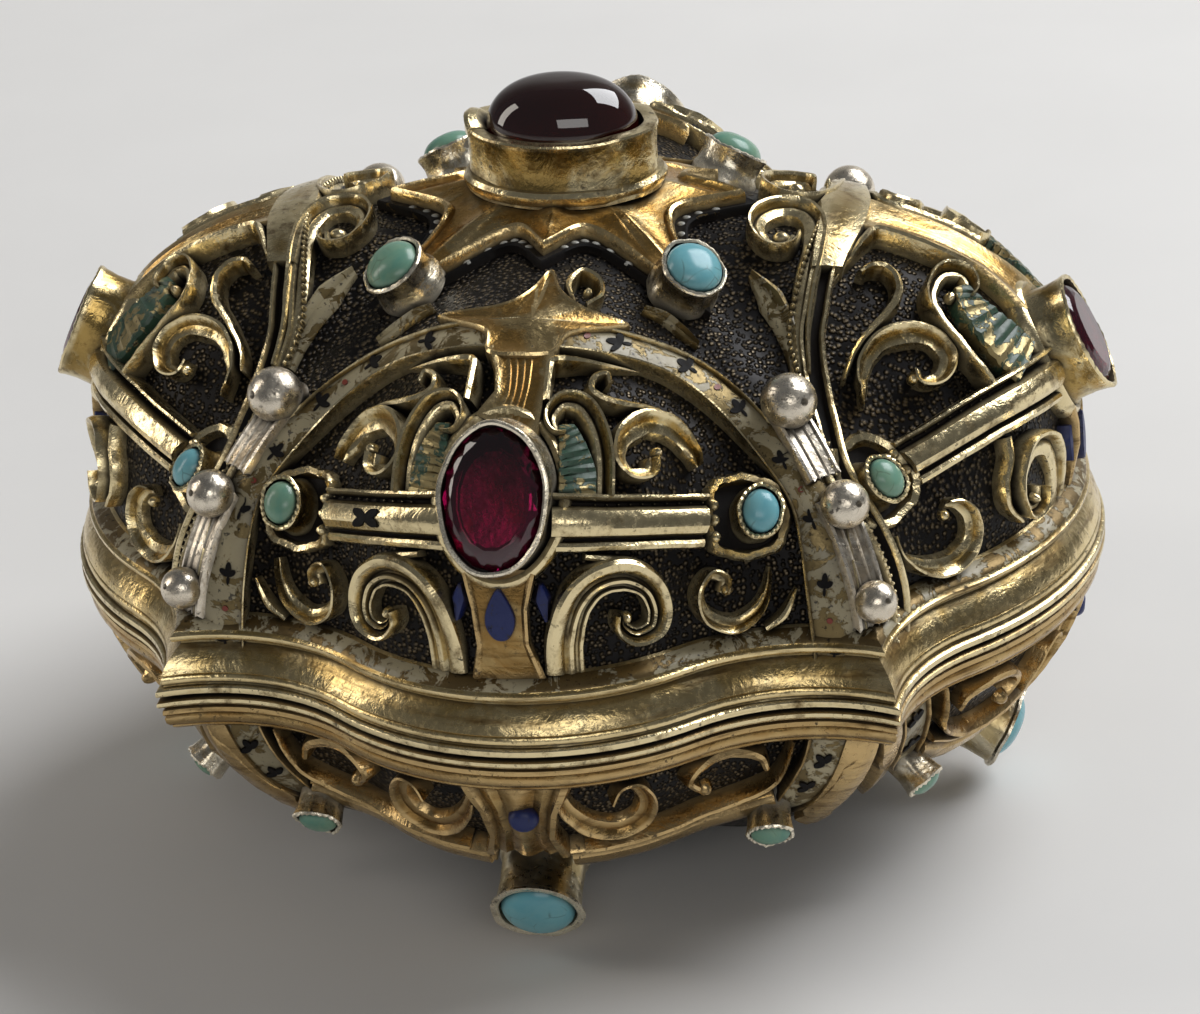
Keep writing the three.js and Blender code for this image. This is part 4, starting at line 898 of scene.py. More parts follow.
FRONT_FACE = {
    "garnet": (3.35, 4.7),
    "garnet_up": 0.0,
    "stone": (15.4, -1.0),
    "bar": [(3.6, -1.5), (7.5, -1.45), (13.0, -1.3)],
    "stem": [(0.5, 10.4), (0.8, 8.6), (0.8, 6.8), (0.2, 4.8)],
    "foot": [(0.0, -4.6), (0.0, -7.2), (0.1, -9.6), (0.2, -11.9)],
    "band": [(20.9, -12.4), (20.7, -9.1), (19.9, -3.6), (18.9, 0.15), (16.6, 3.5), (13.3, 7.0), (9.7, 9.35),
             (5.0, 10.7), (0.0, 11.1)],
    "band_width": [3.4, 2.8, 2.7, 2.7, 2.8],
    "corner": [(2.7, 6.6), (2.6, 8.2), (2.75, 9.3), (4.2, 9.3), (6.0, 8.9), (7.8, 8.4)],
    "pad": ([(5.1, 0.2), (5.0, 1.9), (4.6, 3.5), (4.1, 4.9)], [2.5, 2.4, 1.9, 1.0]),
    "recess": [(13.0, 1.2), (13.9, 1.7), (15.6, 1.7), (17.3, 0.8), (17.9, -1.4), (17.2, -3.2), (15.4, -3.9),
               (13.6, -3.6), (12.9, -2.4), (12.7, -0.4)],
    "grains": [(13.1, -0.3), (13.2, -1.3), (13.3, -2.4), (8.0, -7.7), (3.9, 4.6), (14.0, -5.9), (9.6, 3.1)],
    "scrolls": [
        ([(3.9, -11.6), (4.1, -9.4), (4.9, -7.1), (6.3, -5.5), (8.2, -4.9), (9.7, -5.6), (10.3, -7.1),
          (10.0, -8.5), (8.8, -9.1), (7.9, -8.5), (7.9, -7.6)], [2.7, 2.6, 2.5, 2.4, 2.0, 1.6, 1.3, 1.1, 0.9],
         [0.5, 1.6, 1.6, 1.6, 1.6], VOLUTE_SECTION),
        ([(6.9, 0.4), (6.8, 2.6), (6.3, 4.7), (5.2, 6.4), (3.9, 6.7), (3.2, 5.8), (3.5, 4.9), (4.2, 4.8)],
         [1.3, 1.3, 1.3, 1.2, 1.1, 0.9, 0.8], 1.8, SCROLL_SECTION),
        ([(12.4, 2.4), (12.0, 3.4), (10.7, 4.9), (9.2, 5.3), (8.0, 4.4), (7.8, 3.0), (8.6, 2.0), (9.6, 2.1),
          (9.7, 3.0)], [0.3, 1.0, 1.8, 1.9, 1.5, 1.2, 1.0, 0.8], 1.6, LEAF_SECTION),
        ([(6.5, 7.7), (6.2, 8.4), (5.5, 8.2), (5.4, 7.4), (6.2, 6.8), (7.6, 6.4), (9.2, 6.1), (10.6, 5.4)],
         [0.5, 0.6, 0.6, 0.7, 0.8, 0.8, 0.6, 0.3], 1.4, ROUND_SECTION),
        ([(13.9, -6.2), (14.1, -5.3), (13.3, -5.0), (12.7, -6.3), (13.1, -7.8), (14.6, -8.4), (16.0, -7.4),
          (16.6, -6.0), (16.8, -4.4)], [0.6, 0.8, 0.9, 1.1, 1.2, 1.1, 0.9, 0.6, 0.2], 1.4, LEAF_SECTION),
        ([(16.4, -8.6), (17.6, -7.6), (18.4, -5.8)], [0.5, 0.8, 0.3], 0.9, ROUND_SECTION),
        ([(5.6, -3.7), (7.6, -4.0), (9.8, -4.7)], [0.5, 0.9, 0.4], 1.1, ROUND_SECTION),
    ],
}
SIDE_FACE = {
    "garnet": (3.0, 3.95),
    "garnet_up": -2.6,
    "stone": (17.7, -0.3),
    "bar": [(3.6, -3.4), (8.0, -2.2), (12.0, -1.1), (16.4, -0.3)],
    "stem": [(0.0, 11.8), (0.0, 8.4), (0.0, 5.2), (0.0, 1.4)],
    "foot": [(0.0, -6.6), (0.0, -8.0), (0.0, -9.6), (0.0, -11.9)],
    "band": [(22.0, -12.4), (21.8, -9.1), (21.0, -3.6), (20.2, 0.3), (19.0, 2.8), (16.9, 4.9), (14.7, 6.9),
             (12.5, 8.8), (10.7, 10.1), (7.9, 11.6), (4.7, 12.5), (0.0, 12.9)],
    "band_width": [2.5, 2.4, 2.2, 1.9, 1.8, 1.8],
    "corner": [(2.4, 6.0), (2.3, 9.0), (2.4, 11.3), (4.2, 11.5), (6.2, 11.1), (8.2, 10.3)],
    "pad": ([(6.2, -0.6), (6.3, 1.8), (5.9, 4.2), (4.8, 5.8)], [4.0, 3.6, 2.6, 1.2]),
    "recess": [(15.7, 2.6), (17.2, 3.2), (19.2, 2.8), (20.6, 0.6), (20.4, -1.8), (18.8, -3.0), (17.0, -2.9),
               (15.9, -1.8), (15.6, 0.4)],
    "grains": [(16.0, 0.6), (16.2, -0.7), (9.8, -8.8), (5.9, 5.7), (12.2, 3.6), (16.2, -4.8)],
    "scrolls": [
        ([(5.2, -11.4), (5.7, -9.2), (7.0, -6.9), (8.8, -5.8), (10.3, -6.2), (11.2, -7.6), (10.9, -9.2),
          (9.8, -9.6), (9.2, -8.6)], [2.0, 2.0, 1.9, 1.8, 1.5, 1.2, 1.0, 0.8], [0.5, 1.5, 1.6, 1.6, 1.6],
         SCROLL_SECTION),
        ([(9.8, 0.3), (9.3, 3.0), (8.4, 5.4), (7.3, 6.8), (5.6, 7.4), (4.1, 7.2), (3.5, 6.3), (4.4, 5.5),
          (5.5, 5.4)],
         [1.4, 1.4, 1.4, 1.3, 1.2, 1.1, 0.9, 0.7], 1.8, SCROLL_SECTION),
        ([(15.0, 4.3), (14.3, 5.0), (13.3, 6.0), (12.1, 6.7), (10.9, 6.7), (10.0, 5.9), (9.8, 4.7),
          (10.4, 3.5), (11.6, 2.9), (12.4, 3.4), (12.0, 4.2)],
         [0.3, 0.8, 1.4, 1.7, 1.5, 1.3, 1.2, 1.0, 0.8], 1.6, LEAF_SECTION),
        ([(7.1, 10.5), (6.2, 10.3), (6.0, 9.6), (6.9, 8.7), (8.6, 8.0), (10.7, 7.7), (12.4, 7.2),
          (14.0, 6.2)],
         [0.5, 0.7, 0.8, 0.8, 0.9, 0.8, 0.6, 0.3], 1.5, ROUND_SECTION),
        ([(10.8, -3.5), (11.3, -4.9), (12.2, -6.1), (12.4, -7.7), (11.5, -9.4)], [0.9, 0.9, 0.8, 0.4], 1.2,
         ROUND_SECTION),
        ([(19.7, -3.5), (19.8, -4.9), (18.9, -6.5), (17.8, -7.7), (16.6, -8.3), (15.6, -7.8), (15.2, -6.5),
          (15.5, -5.0), (16.1, -4.3)], [0.3, 0.8, 1.2, 1.5, 1.6, 1.4, 1.2, 1.0, 0.7], 1.4, LEAF_SECTION),
    ],
}


def lid_straps(panel, face):
    """Seat bank, stem, foot, bars, scrolls and the banks and collets of the two small stones."""
    straps = Build()
    seat_bank(straps, panel, face)
    ribbon(straps, panel, rounded(face["stem"], 5), [4.6, 3.6, 3.2, 4.4], 1.4, STEM_SECTION, marks=2,
           uneven=0.0)
    ribbon(straps, panel, rounded(face["foot"], 5), [4.8, 3.6, 3.4, 4.8], [1.3, 1.3, 1.2, 0.6], FLAT_SECTION,
           marks=3, uneven=0.0)
    for sign in (1, -1):
        bar = rounded(face["bar"], 7)
        ribbon(straps, panel, bar, [3.7, 3.5, 3.4], 1.7, BAR_SECTION, sign, uneven=0.008)
        studs(straps, panel, spaced(bar[4:], 0.7) + np.array([0, 1.16]), 0.13, 0.75, sign)
        ribbon(straps, panel, rounded(face["corner"], 6), [0.7, 0.75, 0.8, 0.5, 0.2],
               [1.7, 1.7, 1.7, 1.2, 0.3], ROUND_SECTION, sign)
        for path, widths, rise, section in face["scrolls"]:
            ribbon(straps, panel, rounded(path, 7), widths, rise, section, sign, curl=True)
        studs(straps, panel, face["grains"], 0.42, 1.0, sign)
        bezel_bank(straps, panel, face["recess"], sign)
        side, up = face["stone"]
        seat = panel_seat(panel, side * sign, up, 0.1)
        collet(straps, seat, SMALL_COLLET, 2.2, 0.3, 0.9, 48, 0.05, sign + face["garnet"][1], 0, 1.4, 0.12)
    if face is FRONT_FACE:
        for turn in (0.5, -0.5, math.pi - 0.5, math.pi + 0.5):
            leaf(straps, panel, (-9.4, -1.4), turn, 1.1, 0.3, 1, 1.9)
    straps.make("lid_straps_" + panel.name, [M_GILT, M_BLACK, M_GILT_WARM_REFLECTION, M_LOW_GILT_WARM_REFLECTION], "lid",
                ["lid_strapwork_" + panel.name])


def seat_bank(build, panel, face):
    """The raised bank that carries a garnet's collet."""
    turn = circle(56)
    half_x, half_y = np.array(face["garnet"]) + GARNET_RIM
    profile = [(-0.1, -0.3), (-0.1, 1.1), (0.15, 1.35), (0.4, 1.25), (0.65, 0.95), (0.8, 0.5), (0.8, -0.3)]
    loops = []
    for grow, lift in profile:
        h = face["garnet_up"] + (half_y + grow) * np.sin(turn)
        loops.append(panel.spot((half_x + grow) * np.cos(turn), h, lift))
    rings(build, loops, closed=True)


def bezel_bank(build, panel, outline, sign):
    """The ragged bright frame round the recess of a small stone."""
    edge = rounded(outline, 6, True)
    steps = np.arange(len(edge))[:, None]
    profile = [(1.03, -0.3), (1.03, 0.8), (0.97, 1.1), (0.84, 0.95), (0.78, 0.2), (0.5, 0.12), (0.1, 0.12)]
    shake = 0.025 * np.sin(steps * 0.9) + 0.012 * np.sin(steps * 2.3)
    loops = shrinking(panel, edge, profile, 0.9, sign, shake)
    rings(build, loops[:5], 0, caps=False)
    rings(build, loops[4:], 1, caps=False)


def arch_band(panel, face):
    """The arch round a panel: enamelled with a gable in front and behind, milled and plain at the sides."""
    band = Build()
    half = rounded(face["band"], 6)
    path = mirrored(half)
    width = face["band_width"]
    front = face is FRONT_FACE
    section = BAND_SECTION if front else MILLED_SECTION
    ribbon(band, panel, path, width + width[-2::-1], 1.35, section, uneven=0.004)
    if front:
        gable = [(-6.4, 12.1), (-1.9, 12.9), (0.1, 14.0), (1.2, 15.5), (2.3, 14.0), (4.2, 12.8), (7.2, 11.6),
                 (3.6, 11.0), (2.7, 9.6), (0.4, 9.4), (-1.9, 9.6), (-2.6, 11.2)]
        patch(band, panel, gable, 1.5, 0.08, 4)
        motif(band, panel, path)
    else:
        studs(band, panel, spaced(mirrored(beside(half, -0.72)), 0.55), 0.2, 1.3)
        top = path[np.abs(path[:, 0]) < 7.6]
        ribbon(band, panel, top, [2.2, 2.8, 3.6, 2.8, 2.2], 1.5, PLATE_SECTION, uneven=0.0)
    band.make("arch_" + panel.name, [M_GILT, M_CREAM, M_BLACK, M_RED, M_GILT_WARM_REFLECTION], "lid",
              ["arch_band_" + panel.name])


def motif(build, panel, path):
    """Small black sprigs of three petals, and red dots between them, on the enamel."""
    total = run_of(path)[-1]
    count = 16
    for i in range(count):
        at = total * (i + 0.5) / count
        if abs(at - total / 2) < 4.5:
            continue
        centre = place_on(path, at)
        ahead = place_on(path, at + 0.5) - centre
        way = math.atan2(ahead[1], ahead[0]) + (math.pi if at > total / 2 else 0)
        way += random.uniform(-0.25, 0.25)
        for turn, length in ((-0.9, 0.75), (0.0, 0.95), (0.9, 0.75)):
            leaf(build, panel, centre, way + turn, length * random.uniform(0.8, 1.1), 0.2, 2)
        leaf(build, panel, centre, way + math.pi, 0.6, 0.1, 2)
        if i % 2 == 0:
            dot = place_on(path, at + total / count / 2)
            leaf(build, panel, dot - np.array([0.2, 0]), 0.0, 0.42, 0.19, 3)


def leaf(build, panel, start, way, length, half, marks, lift=1.17):
    """A thin raised petal, pointing along way."""
    turn = circle(12)
    along = (0.5 - 0.5 * np.cos(turn)) * length
    across = np.sin(turn) * half
    s, h = panel.under(start[0] + along * math.cos(way) - across * math.sin(way),
                       start[1] + along * math.sin(way) + across * math.cos(way), lift)
    rings(build, [panel.spot(s, h, lift - 0.3), panel.spot(s, h, lift)], marks)


def spandrels(panel):
    """Cream leaves between the front or back arch and the crown, and a hook beside the gable."""
    build = Build()
    for sign in (1, -1):
        big = [(17.6, 8.6), (16.9, 11.2), (15.4, 13.6), (13.8, 15.4)]
        ribbon(build, panel, rounded(big, 6), [0.4, 1.6, 2.0, 0.5], 0.9, LEAF_SECTION, sign, 1, True)
        small = [(7.4, 12.9), (8.7, 12.4), (10.0, 11.4), (11.1, 10.5)]
        ribbon(build, panel, rounded(small, 6), [0.2, 0.7, 0.7, 0.2], 0.8, LEAF_SECTION, sign, 1, True)
    hook = [(3.2, 13.1), (2.5, 14.5), (3.1, 15.4), (4.3, 14.9), (4.8, 13.8), (4.0, 13.0)]
    ribbon(build, panel, rounded(hook, 6), [0.5, 0.7, 0.7, 0.6, 0.5], 1.3, ROUND_SECTION)
    studs(build, panel, [(3.8, 13.7)], 0.35, 0.9)
    build.make("spandrel_" + panel.name, [M_GILT, M_CREAM], "lid", [])


def drops(panel, face):
    """A blue teardrop and two slips below the garnet, and green pads beside its stem."""
    build = Build()
    low = face["foot"][0][1]
    teardrop = [(0.0, low - 1.2), (0.6, low - 2.0), (1.05, low - 3.1), (0.95, low - 4.0), (0.45, low - 4.7),
                (-0.35, low - 4.7), (-0.9, low - 4.0), (-1.0, low - 3.1), (-0.6, low - 2.0)]
    patch(build, panel, teardrop, 1.38)
    for sign in (1, -1):
        slip = [(2.7, low - 1.0), (2.8, low - 2.0), (3.0, low - 3.4)]
        ribbon(build, panel, rounded(slip, 5), [0.3, 1.3, 0.3], 1.0, ROUND_SECTION, sign)
        path, widths = face["pad"]
        ribbon(build, panel, rounded(path, 9), widths, [1.5, 1.3] * 9, PLATE_SECTION, sign, 1)
    build.make("enamel_drops_" + panel.name, [M_BLUE, M_GREEN], "lid", [])


def lid_stones(panel, face):
    name = panel.name
    half_x, half_y = face["garnet"]
    seat = panel_seat(panel, 0, face["garnet_up"], 1.0)
    setting = Build()
    collet(setting, seat, (half_x + GARNET_RIM, half_y + GARNET_RIM), 3.1, 0.34, 1.1, 72, 0.06, 1.0 + half_y,
           foot=2.4, saw=0.05)
    setting.make("garnet_setting_" + name, [M_BEZEL if face is FRONT_FACE else M_GILT], "lid",
                 ["garnet_collet_" + name])
    stone = Build()
    faceted(stone, half_x, half_y, 2.55, seat)
    stone.make("garnet_stone_" + name, [M_GARNET], "lid", ["garnet_" + name], 6)
    side, up = face["stone"]
    for label, sign, material in (("left", -1, M_TURQUOISE_GREEN), ("right", 1, M_TURQUOISE)):
        cabochon(f"small_stone_{name}_{label}", f"lid_turquoise_{name}_{label}", material, "lid",
                 panel_seat(panel, side * sign, up, 0.1), SMALL_STONE, 1.75, 1.1, 32, 10)


def faceted(build, half_x, half_y, base, seat):
    """A faceted oval: a flat table, a step of crown facets, and a pavilion below."""
    levels = [(0.12, 0.08, -1.3, 0.0), (0.7, 0.7, -0.5, 0.5), (1.0, 1.0, 0.0, 0.0), (0.93, 0.95, 0.28, 0.5),
              (0.8, 0.84, 0.62, 0.0), (0.66, 0.72, 0.82, 0.5)]
    count = 16
    loops = []
    for share_x, share_y, z, shift in levels:
        turn = 2 * math.pi * (np.arange(count) + shift) / count
        loops.append(points_at(half_x * share_x * np.cos(turn), half_y * share_y * np.sin(turn), base + z))
    faces = []
    for level in range(len(levels) - 1):
        low, high = level * count, (level + 1) * count
        shifted = levels[level + 1][3] > levels[level][3]
        for i in range(count):
            k = (i + 1) % count
            if shifted:
                faces += [[low + i, low + k, high + i], [high + i, low + k, high + k]]
            else:
                faces += [[low + i, high + k, high + i], [low + i, low + k, high + k]]
    faces.append(list(range(count)))
    faces.append(list(range((len(levels) - 1) * count, len(levels) * count)))
    build.add(np.concatenate(placed(loops, seat)), faces, [0] * len(faces))


def crooks():
    """Straps that rise from the corner beads beside the side arches and curl over near the crown."""
    path = [(18.2, -14.4), (17.7, -11.9), (17.7, -9.4), (18.0, -5.8), (17.8, -2.9), (16.8, -1.2),
            (15.2, -1.2), (14.0, -2.7), (13.9, -4.4), (14.9, -5.8), (16.2, -5.7), (16.6, -4.6)]
    build = Build()
    for half in (1, -1):
        roof = Roof(half)
        for sign in (1, -1):
            ribbon(build, roof, rounded(path, 8), [1.0, 1.7, 1.7, 1.6, 1.4, 1.2, 0.9], 1.6, SCROLL_SECTION,
                   sign, curl=True, uneven=0.01)
            spot, normal = roof.ground(15.5 * sign, -4.2)
            dome(build, seat_frame(spot[0], normal[0], SIDEWAYS), 0.7, 0.6, 0.2, 0.8, 16, 6)
    build.make("crown_crooks", [M_GILT], "lid", [])


# Corner ribs, beads and crown

FLAT_FRONT = lobe_edge(GROUND_FRONT, GROUND_SIDE, CORNER_REACH)
FLAT_SIDE = lobe_edge(GROUND_SIDE, GROUND_FRONT, CORNER_REACH)
CORNER_TURN = math.atan2(float(GROUND_FRONT.depth(FLAT_FRONT)) + FLAT_SIDE,
                         float(GROUND_SIDE.depth(FLAT_SIDE)) + FLAT_FRONT)
CORNER_ANGLES = [-CORNER_TURN, CORNER_TURN, math.pi - CORNER_TURN, math.pi + CORNER_TURN]
# Beads: radius, reach and height. Channels between them: low end, high end and rise.
BEADS = [(1.9, 25.2, 18.6), (1.65, 31.0, 13.1), (1.45, 34.0, 7.0)]
CHANNELS = [(LID_RIM_HEIGHT - 0.3, 12.3, 1.5), (13.4, 17.2, 1.6)]
CHANNEL_WIDTHS = (2.7, 2.8)
CHANNEL_STEPS = 14
RAGGED_END = 0.3


def corner_ground(angle, heights):
    start = np.outer(heights, UPWARDS)
    return hit_ground(lid_measure, start, np.array([math.cos(angle), math.sin(angle), 0.0]), 80)


def corner_rib(angle, name):
    """Grooved channels between the beads, with ragged ends, and the hollow beads."""
    build = Build()
    across = np.array([-math.sin(angle), math.cos(angle), 0.0])
    for low, high, rise in CHANNELS:
        point, normal = corner_ground(angle, SEAM_HEIGHT + np.linspace(low, high, CHANNEL_STEPS))
        out = normal - np.outer(normal @ across, across)
        out /= np.linalg.norm(out, axis=1)[:, None]
        width = np.linspace(*CHANNEL_WIDTHS, CHANNEL_STEPS)
        step = point[1] - point[0]
        loops = []
        for i in range(CHANNEL_STEPS):
            slip = RAGGED_END if i in (0, CHANNEL_STEPS - 1) else 0
            loop = []
            for j, (share, lift) in enumerate(CHANNEL_SECTION):
                ragged = step * slip * math.sin(2.7 * j + low)
                loop.append(point[i] + across * share * width[i] / 2 + out[i] * lift * rise + ragged)
            loops.append(np.array(loop))
        rings(build, loops)
    for radius, reach, up in BEADS:
        centre = np.array([reach * math.cos(angle), reach * math.sin(angle), SEAM_HEIGHT + up])
        point, _ = corner_ground(angle, np.array([SEAM_HEIGHT + up - 0.8]))
        bead(build, centre, centre - point[0], radius)
    build.make("corner_strap_" + name, [M_SILVER], "lid", ["corner_rib_" + name])


def bead(build, centre, axis, radius):
    """A hollow silver bead with a little vent hole at its front and a collar at its back."""
    turn = circle(32)
    profile = [(0.4, -1.2), (0.45, -1.0)]
    profile += [(math.cos(a), math.sin(a)) for a in np.linspace(-0.95, 1.42, 17)]
    profile += [(0.11, 0.9), (0.05, 0.85)]
    loops = [points_at(radius * r * np.cos(turn), radius * r * np.sin(turn), radius * z) for r, z in profile]
    rings(build, placed(loops, seat_frame(centre, axis, np.cross(axis, UPWARDS))))


def crown_reach(angle):
    """Reach of the star plate: long legs on the diagonals, short points between them, deep hollows."""
    quarter = math.pi / 2
    turn = np.abs(np.mod(angle, math.pi) - quarter) / quarter
    point = np.where(turn > 0.5, CROWN_POINT_SIDE, CROWN_POINT_FRONT)
    share = np.abs(2 * turn - 1)
    return CROWN_LEG + (point - CROWN_LEG) * share - CROWN_HOLLOW * np.sin(math.pi * share)


def crown_spot(angle, reach, lift):
    point, normal = Roof(1).ground(reach * np.cos(angle), reach * np.sin(angle))
    return point + normal * lift, normal


def crown_seat(angle):
    """Seat of a stone on a leg of the star, tilted outwards from the ground's normal."""
    tilt = math.radians(LEG_STONE_TILT)
    spot, normal = crown_spot(angle, LEG_STONE_REACH, GAP + 2.5 * math.sin(tilt))
    across = np.array([-math.sin(angle), math.cos(angle), 0.0])
    out = np.cross(across, normal[0])
    return seat_frame(spot[0], normal[0] * math.cos(tilt) + out * math.sin(tilt), across)


def crown_plate():
    """The star with its black step and white dots, and the collets on its legs."""
    angles = circle(288)
    reach = crown_reach(angles)
    plate = Build()
    top = [(0.3, -0.3, 0), (1, -0.3, 0), (1, 1.1, 0), (1, 1.45, -0.12), (1, 1.6, -0.35), (1, 1.5, -0.6),
           (1, 1.15, -0.85), (0.84, 1.2, 0), (0.72, 1.5, 0), (0.6, 1.85, 0), (0.45, 2.15, 0), (0.3, 2.2, 0)]
    step = [(0.7, -0.3, 0), (1, -0.3, 1.05), (1, 0.55, 1.05), (1, 0.7, 0.9), (1, 0.6, 0.2), (0.7, 0.6, 0)]
    for marks, levels in enumerate([top, step]):
        loops = [crown_spot(angles, reach * share + beyond, lift)[0] for share, lift, beyond in levels]
        rings(plate, loops, marks)
    for angle in CORNER_ANGLES:
        collet(plate, crown_seat(angle), (LEG_COLLET, LEG_COLLET), 2.1, 0.3, 0.9, 48, 0.06, angle, 3, 0.9,
               0.06)
    for arm in range(8):
        for share in np.linspace(0.18, 0.82, 7):
            angle = (arm + share) * math.pi / 4
            spot, normal = crown_spot(angle, crown_reach(angle) + 0.5, 0.62)
            dome(plate, seat_frame(spot[0], normal[0], SIDEWAYS), 0.36, 0.28, -0.1, 0.24, 12, 4, marks=2)
    plate.make("crown_plate", [M_GILT_WARM_REFLECTION, M_BLACK, M_WHITE, M_BEZEL], "lid", ["crown_mount"])


def crown():
    """The plate, the big collet with its folded tab, and the stones."""
    crown_plate()
    half_x, half_y = CROWN_COLLET
    seat = seat_frame(UPWARDS * CROWN_SEAT_HEIGHT, UPWARDS, SIDEWAYS)
    setting = Build()
    collet(setting, seat, CROWN_COLLET, 3.9, 1.0, 1.2, 120, 0.12, 2.3, foot=0.7)
    foot = oval([(-0.2, -0.5), (-0.42, -0.1), (-0.42, 0.2), (-0.2, 0.5), (0.3, 0.5)], *CROWN_COLLET, 96, 0.06,
                1.1)
    rings(setting, placed(foot, seat), caps=False)
    tab = []
    for share in np.linspace(0, 1, 9):
        turn = math.radians(158 + 44 * share)
        swell = 0.6 * math.sin(math.pi * share)
        profile = [(1.3, 3.8), (0.7, 4.0 + swell), (0.1, 4.1 + swell), (-0.2, 3.9 + swell), (-0.15, 3.4),
                   (0.4, 3.3)]
        tab.append(np.array([((half_x - inset) * math.cos(turn), (half_y - inset) * math.sin(turn), up)
                             for inset, up in profile]))
    rings(setting, placed(tab, seat))
    setting.make("crown_setting", [M_GILT], "lid", ["crown_collet"])
    cabochon("crown_stone", "crown_garnet", M_CROWN, "lid", seat, CROWN_STONE, 3.5, 3.6, 72, 24,
             0.75)
    for name, angle in zip(CORNERS, CORNER_ANGLES):
        material = M_TURQUOISE if name == "front_right" else M_TURQUOISE_GREEN
        cabochon("crown_stone_" + name, "crown_turquoise_" + name, material, "lid",
                 crown_seat(angle), (LEG_STONE, LEG_STONE), 1.7, 1.35, 40, 12)


# Base panels, measured from the seat of the big turquoise

BASE_STRAP = [(2.9, 3.5), (5.5, 3.5), (9.5, 3.0), (13.0, 2.6), (16.2, 3.2)]
BASE_BAND = [(15.6, 1.6), (17.4, 3.4), (19.2, 6.4), (20.4, 9.4), (21.0, 12.2)]
BASE_SCROLLS = [
    ([(3.2, 12.2), (3.7, 10.6), (5.0, 8.4), (6.6, 7.3), (8.1, 7.9), (8.7, 9.6), (8.3, 11.4), (7.3, 11.8),
      (6.7, 10.9)],
     [0.9, 1.1, 1.4, 1.5, 1.3, 1.1, 0.9, 0.7], 1.4, LEAF_SECTION),
    ([(11.8, 8.1), (11.3, 9.5), (12.4, 10.4), (14.0, 10.2), (15.6, 9.1), (16.0, 7.8)],
     [0.7, 0.8, 0.9, 1.0, 0.9, 0.7], 1.3, ROUND_SECTION),
]
BASE_WINDOW = [(4.0, 5.8), (8.0, 5.4), (11.0, 4.9), (13.8, 4.9), (16.2, 6.0), (17.3, 8.0), (17.9, 10.0)]


def base_straps(panel, seat):
    """Stem, straps, windows, scrolls, enamelled bands and the three collets of a base panel."""
    straps = Build()
    stem = [(0.2, 13.8), (0.2, 11.4), (0.1, 8.6), (0, 5.4)]
    ribbon(straps, panel, rounded(stem, 5), [7.4, 5.2, 4.4, 5.6], [1.5, 1.3, 1.3, 1.4], FLUTED_SECTION,
           uneven=0.0)
    band = rounded(BASE_BAND, 6)
    for sign in (1, -1):
        ribbon(straps, panel, rounded(BASE_STRAP, 7), [4.4, 4.2, 4.0, 3.6], 1.4, BAR_SECTION, sign,
               uneven=0.008)
        ribbon(straps, panel, rounded(BASE_WINDOW, 6), [0.5, 0.6, 0.6, 0.5], 1.5, ROUND_SECTION, sign)
        for points, widths, rise, section in BASE_SCROLLS:
            ribbon(straps, panel, rounded(points, 7), widths, rise, section, sign, curl=True)
        studs(straps, panel, [(11.9, 8.0)], 0.6, 1.0, sign)
        ribbon(straps, panel, band, [1.6, 3.0, 3.4, 3.6], 1.25, BAND_SECTION, sign)
        for place in spaced(band, 3.0)[1:]:
            for turn in (1.0, 2.2, 3.6):
                leaf(straps, panel, place * np.array([sign, 1]), turn, 0.85, 0.24, 2)
        collet(straps, base_small_seat(panel, sign), BASE_SMALL_COLLET, 2.85, 0.28, 0.9, 44, 0.08,
               sign + 4.2, 3, 1.4, 0.1)
        ribbon(straps, panel, beside(band, -2.5), [1.2, 1.8, 2.0], 1.2, PLATE_SECTION, sign)
    collet(straps, seat, BASE_COLLET, 4.3, 0.3, 1.2, 64, 0.05, 0.7, 4, 3.2)
    lip = oval([(0.1, 3.9), (-0.22, 4.15), (-0.26, 4.35), (0.05, 4.4), (0.3, 4.3)], *BASE_COLLET, 64, 0.06,
               0.7)
    rings(straps, placed(lip, seat), 3, caps=False)
    straps.make("base_straps_" + panel.name, [M_LOW_GILT_WARM_REFLECTION, M_CREAM, M_BLACK, M_BEZEL, M_POLISHED], "base",
                ["base_strapwork_" + panel.name])


def base_small_seat(panel, sign):
    return panel_seat(panel, BASE_SMALL_SIDE * sign, BASE_SMALL_UP, 0.3)


def base_panel(panel):
    name = panel.name
    seat = panel_seat(panel, 0, 0, 1.0)
    base_straps(panel, seat)
    roundel = Build()
    spot, normal = panel.ground(*panel.under(0.5, 11.0, 1.2))
    level = normal[0] * np.array([1.0, 1.0, 0.2])
    blue_seat = seat_frame(spot[0] + normal[0] * 1.35, level, panel.side)
    dome(roundel, blue_seat, 1.05, 1.0, -0.4, 0.95, 24, 8, 0.6)
    roundel.make("blue_roundel_" + name, [M_BLUE], "base", [])
    cabochon("base_stone_" + name, "base_turquoise_" + name, M_TURQUOISE, "base", seat,
             BASE_STONE, 3.6, 1.7, 48, 14)
    for label, sign in (("left", -1), ("right", 1)):
        cabochon(f"base_small_{name}_{label}", f"base_turquoise_{name}_{label}", M_TURQUOISE_GREEN,
                 "base", base_small_seat(panel, sign), BASE_SMALL_STONE, 2.4, 0.9, 32, 10)


# Hinge

def slab(build, low, high, bevel):
    """A box between two corners, with bevelled edges."""
    loops = []
    for x, shrink in [(low[0], bevel), (low[0] + bevel, 0), (high[0] - bevel, 0), (high[0], bevel)]:
        y0, z0 = low[1] + shrink, low[2] + shrink
        y1, z1 = high[1] - shrink, high[2] - shrink
        corners = [(y0, z0 + bevel), (y0 + bevel, z0), (y1 - bevel, z0), (y1, z0 + bevel),
                   (y1, z1 - bevel), (y1 - bevel, z1), (y0 + bevel, z1), (y0, z1 - bevel)]
        loops.append(np.array([(x, y, z) for y, z in corners]))
    rings(build, loops)


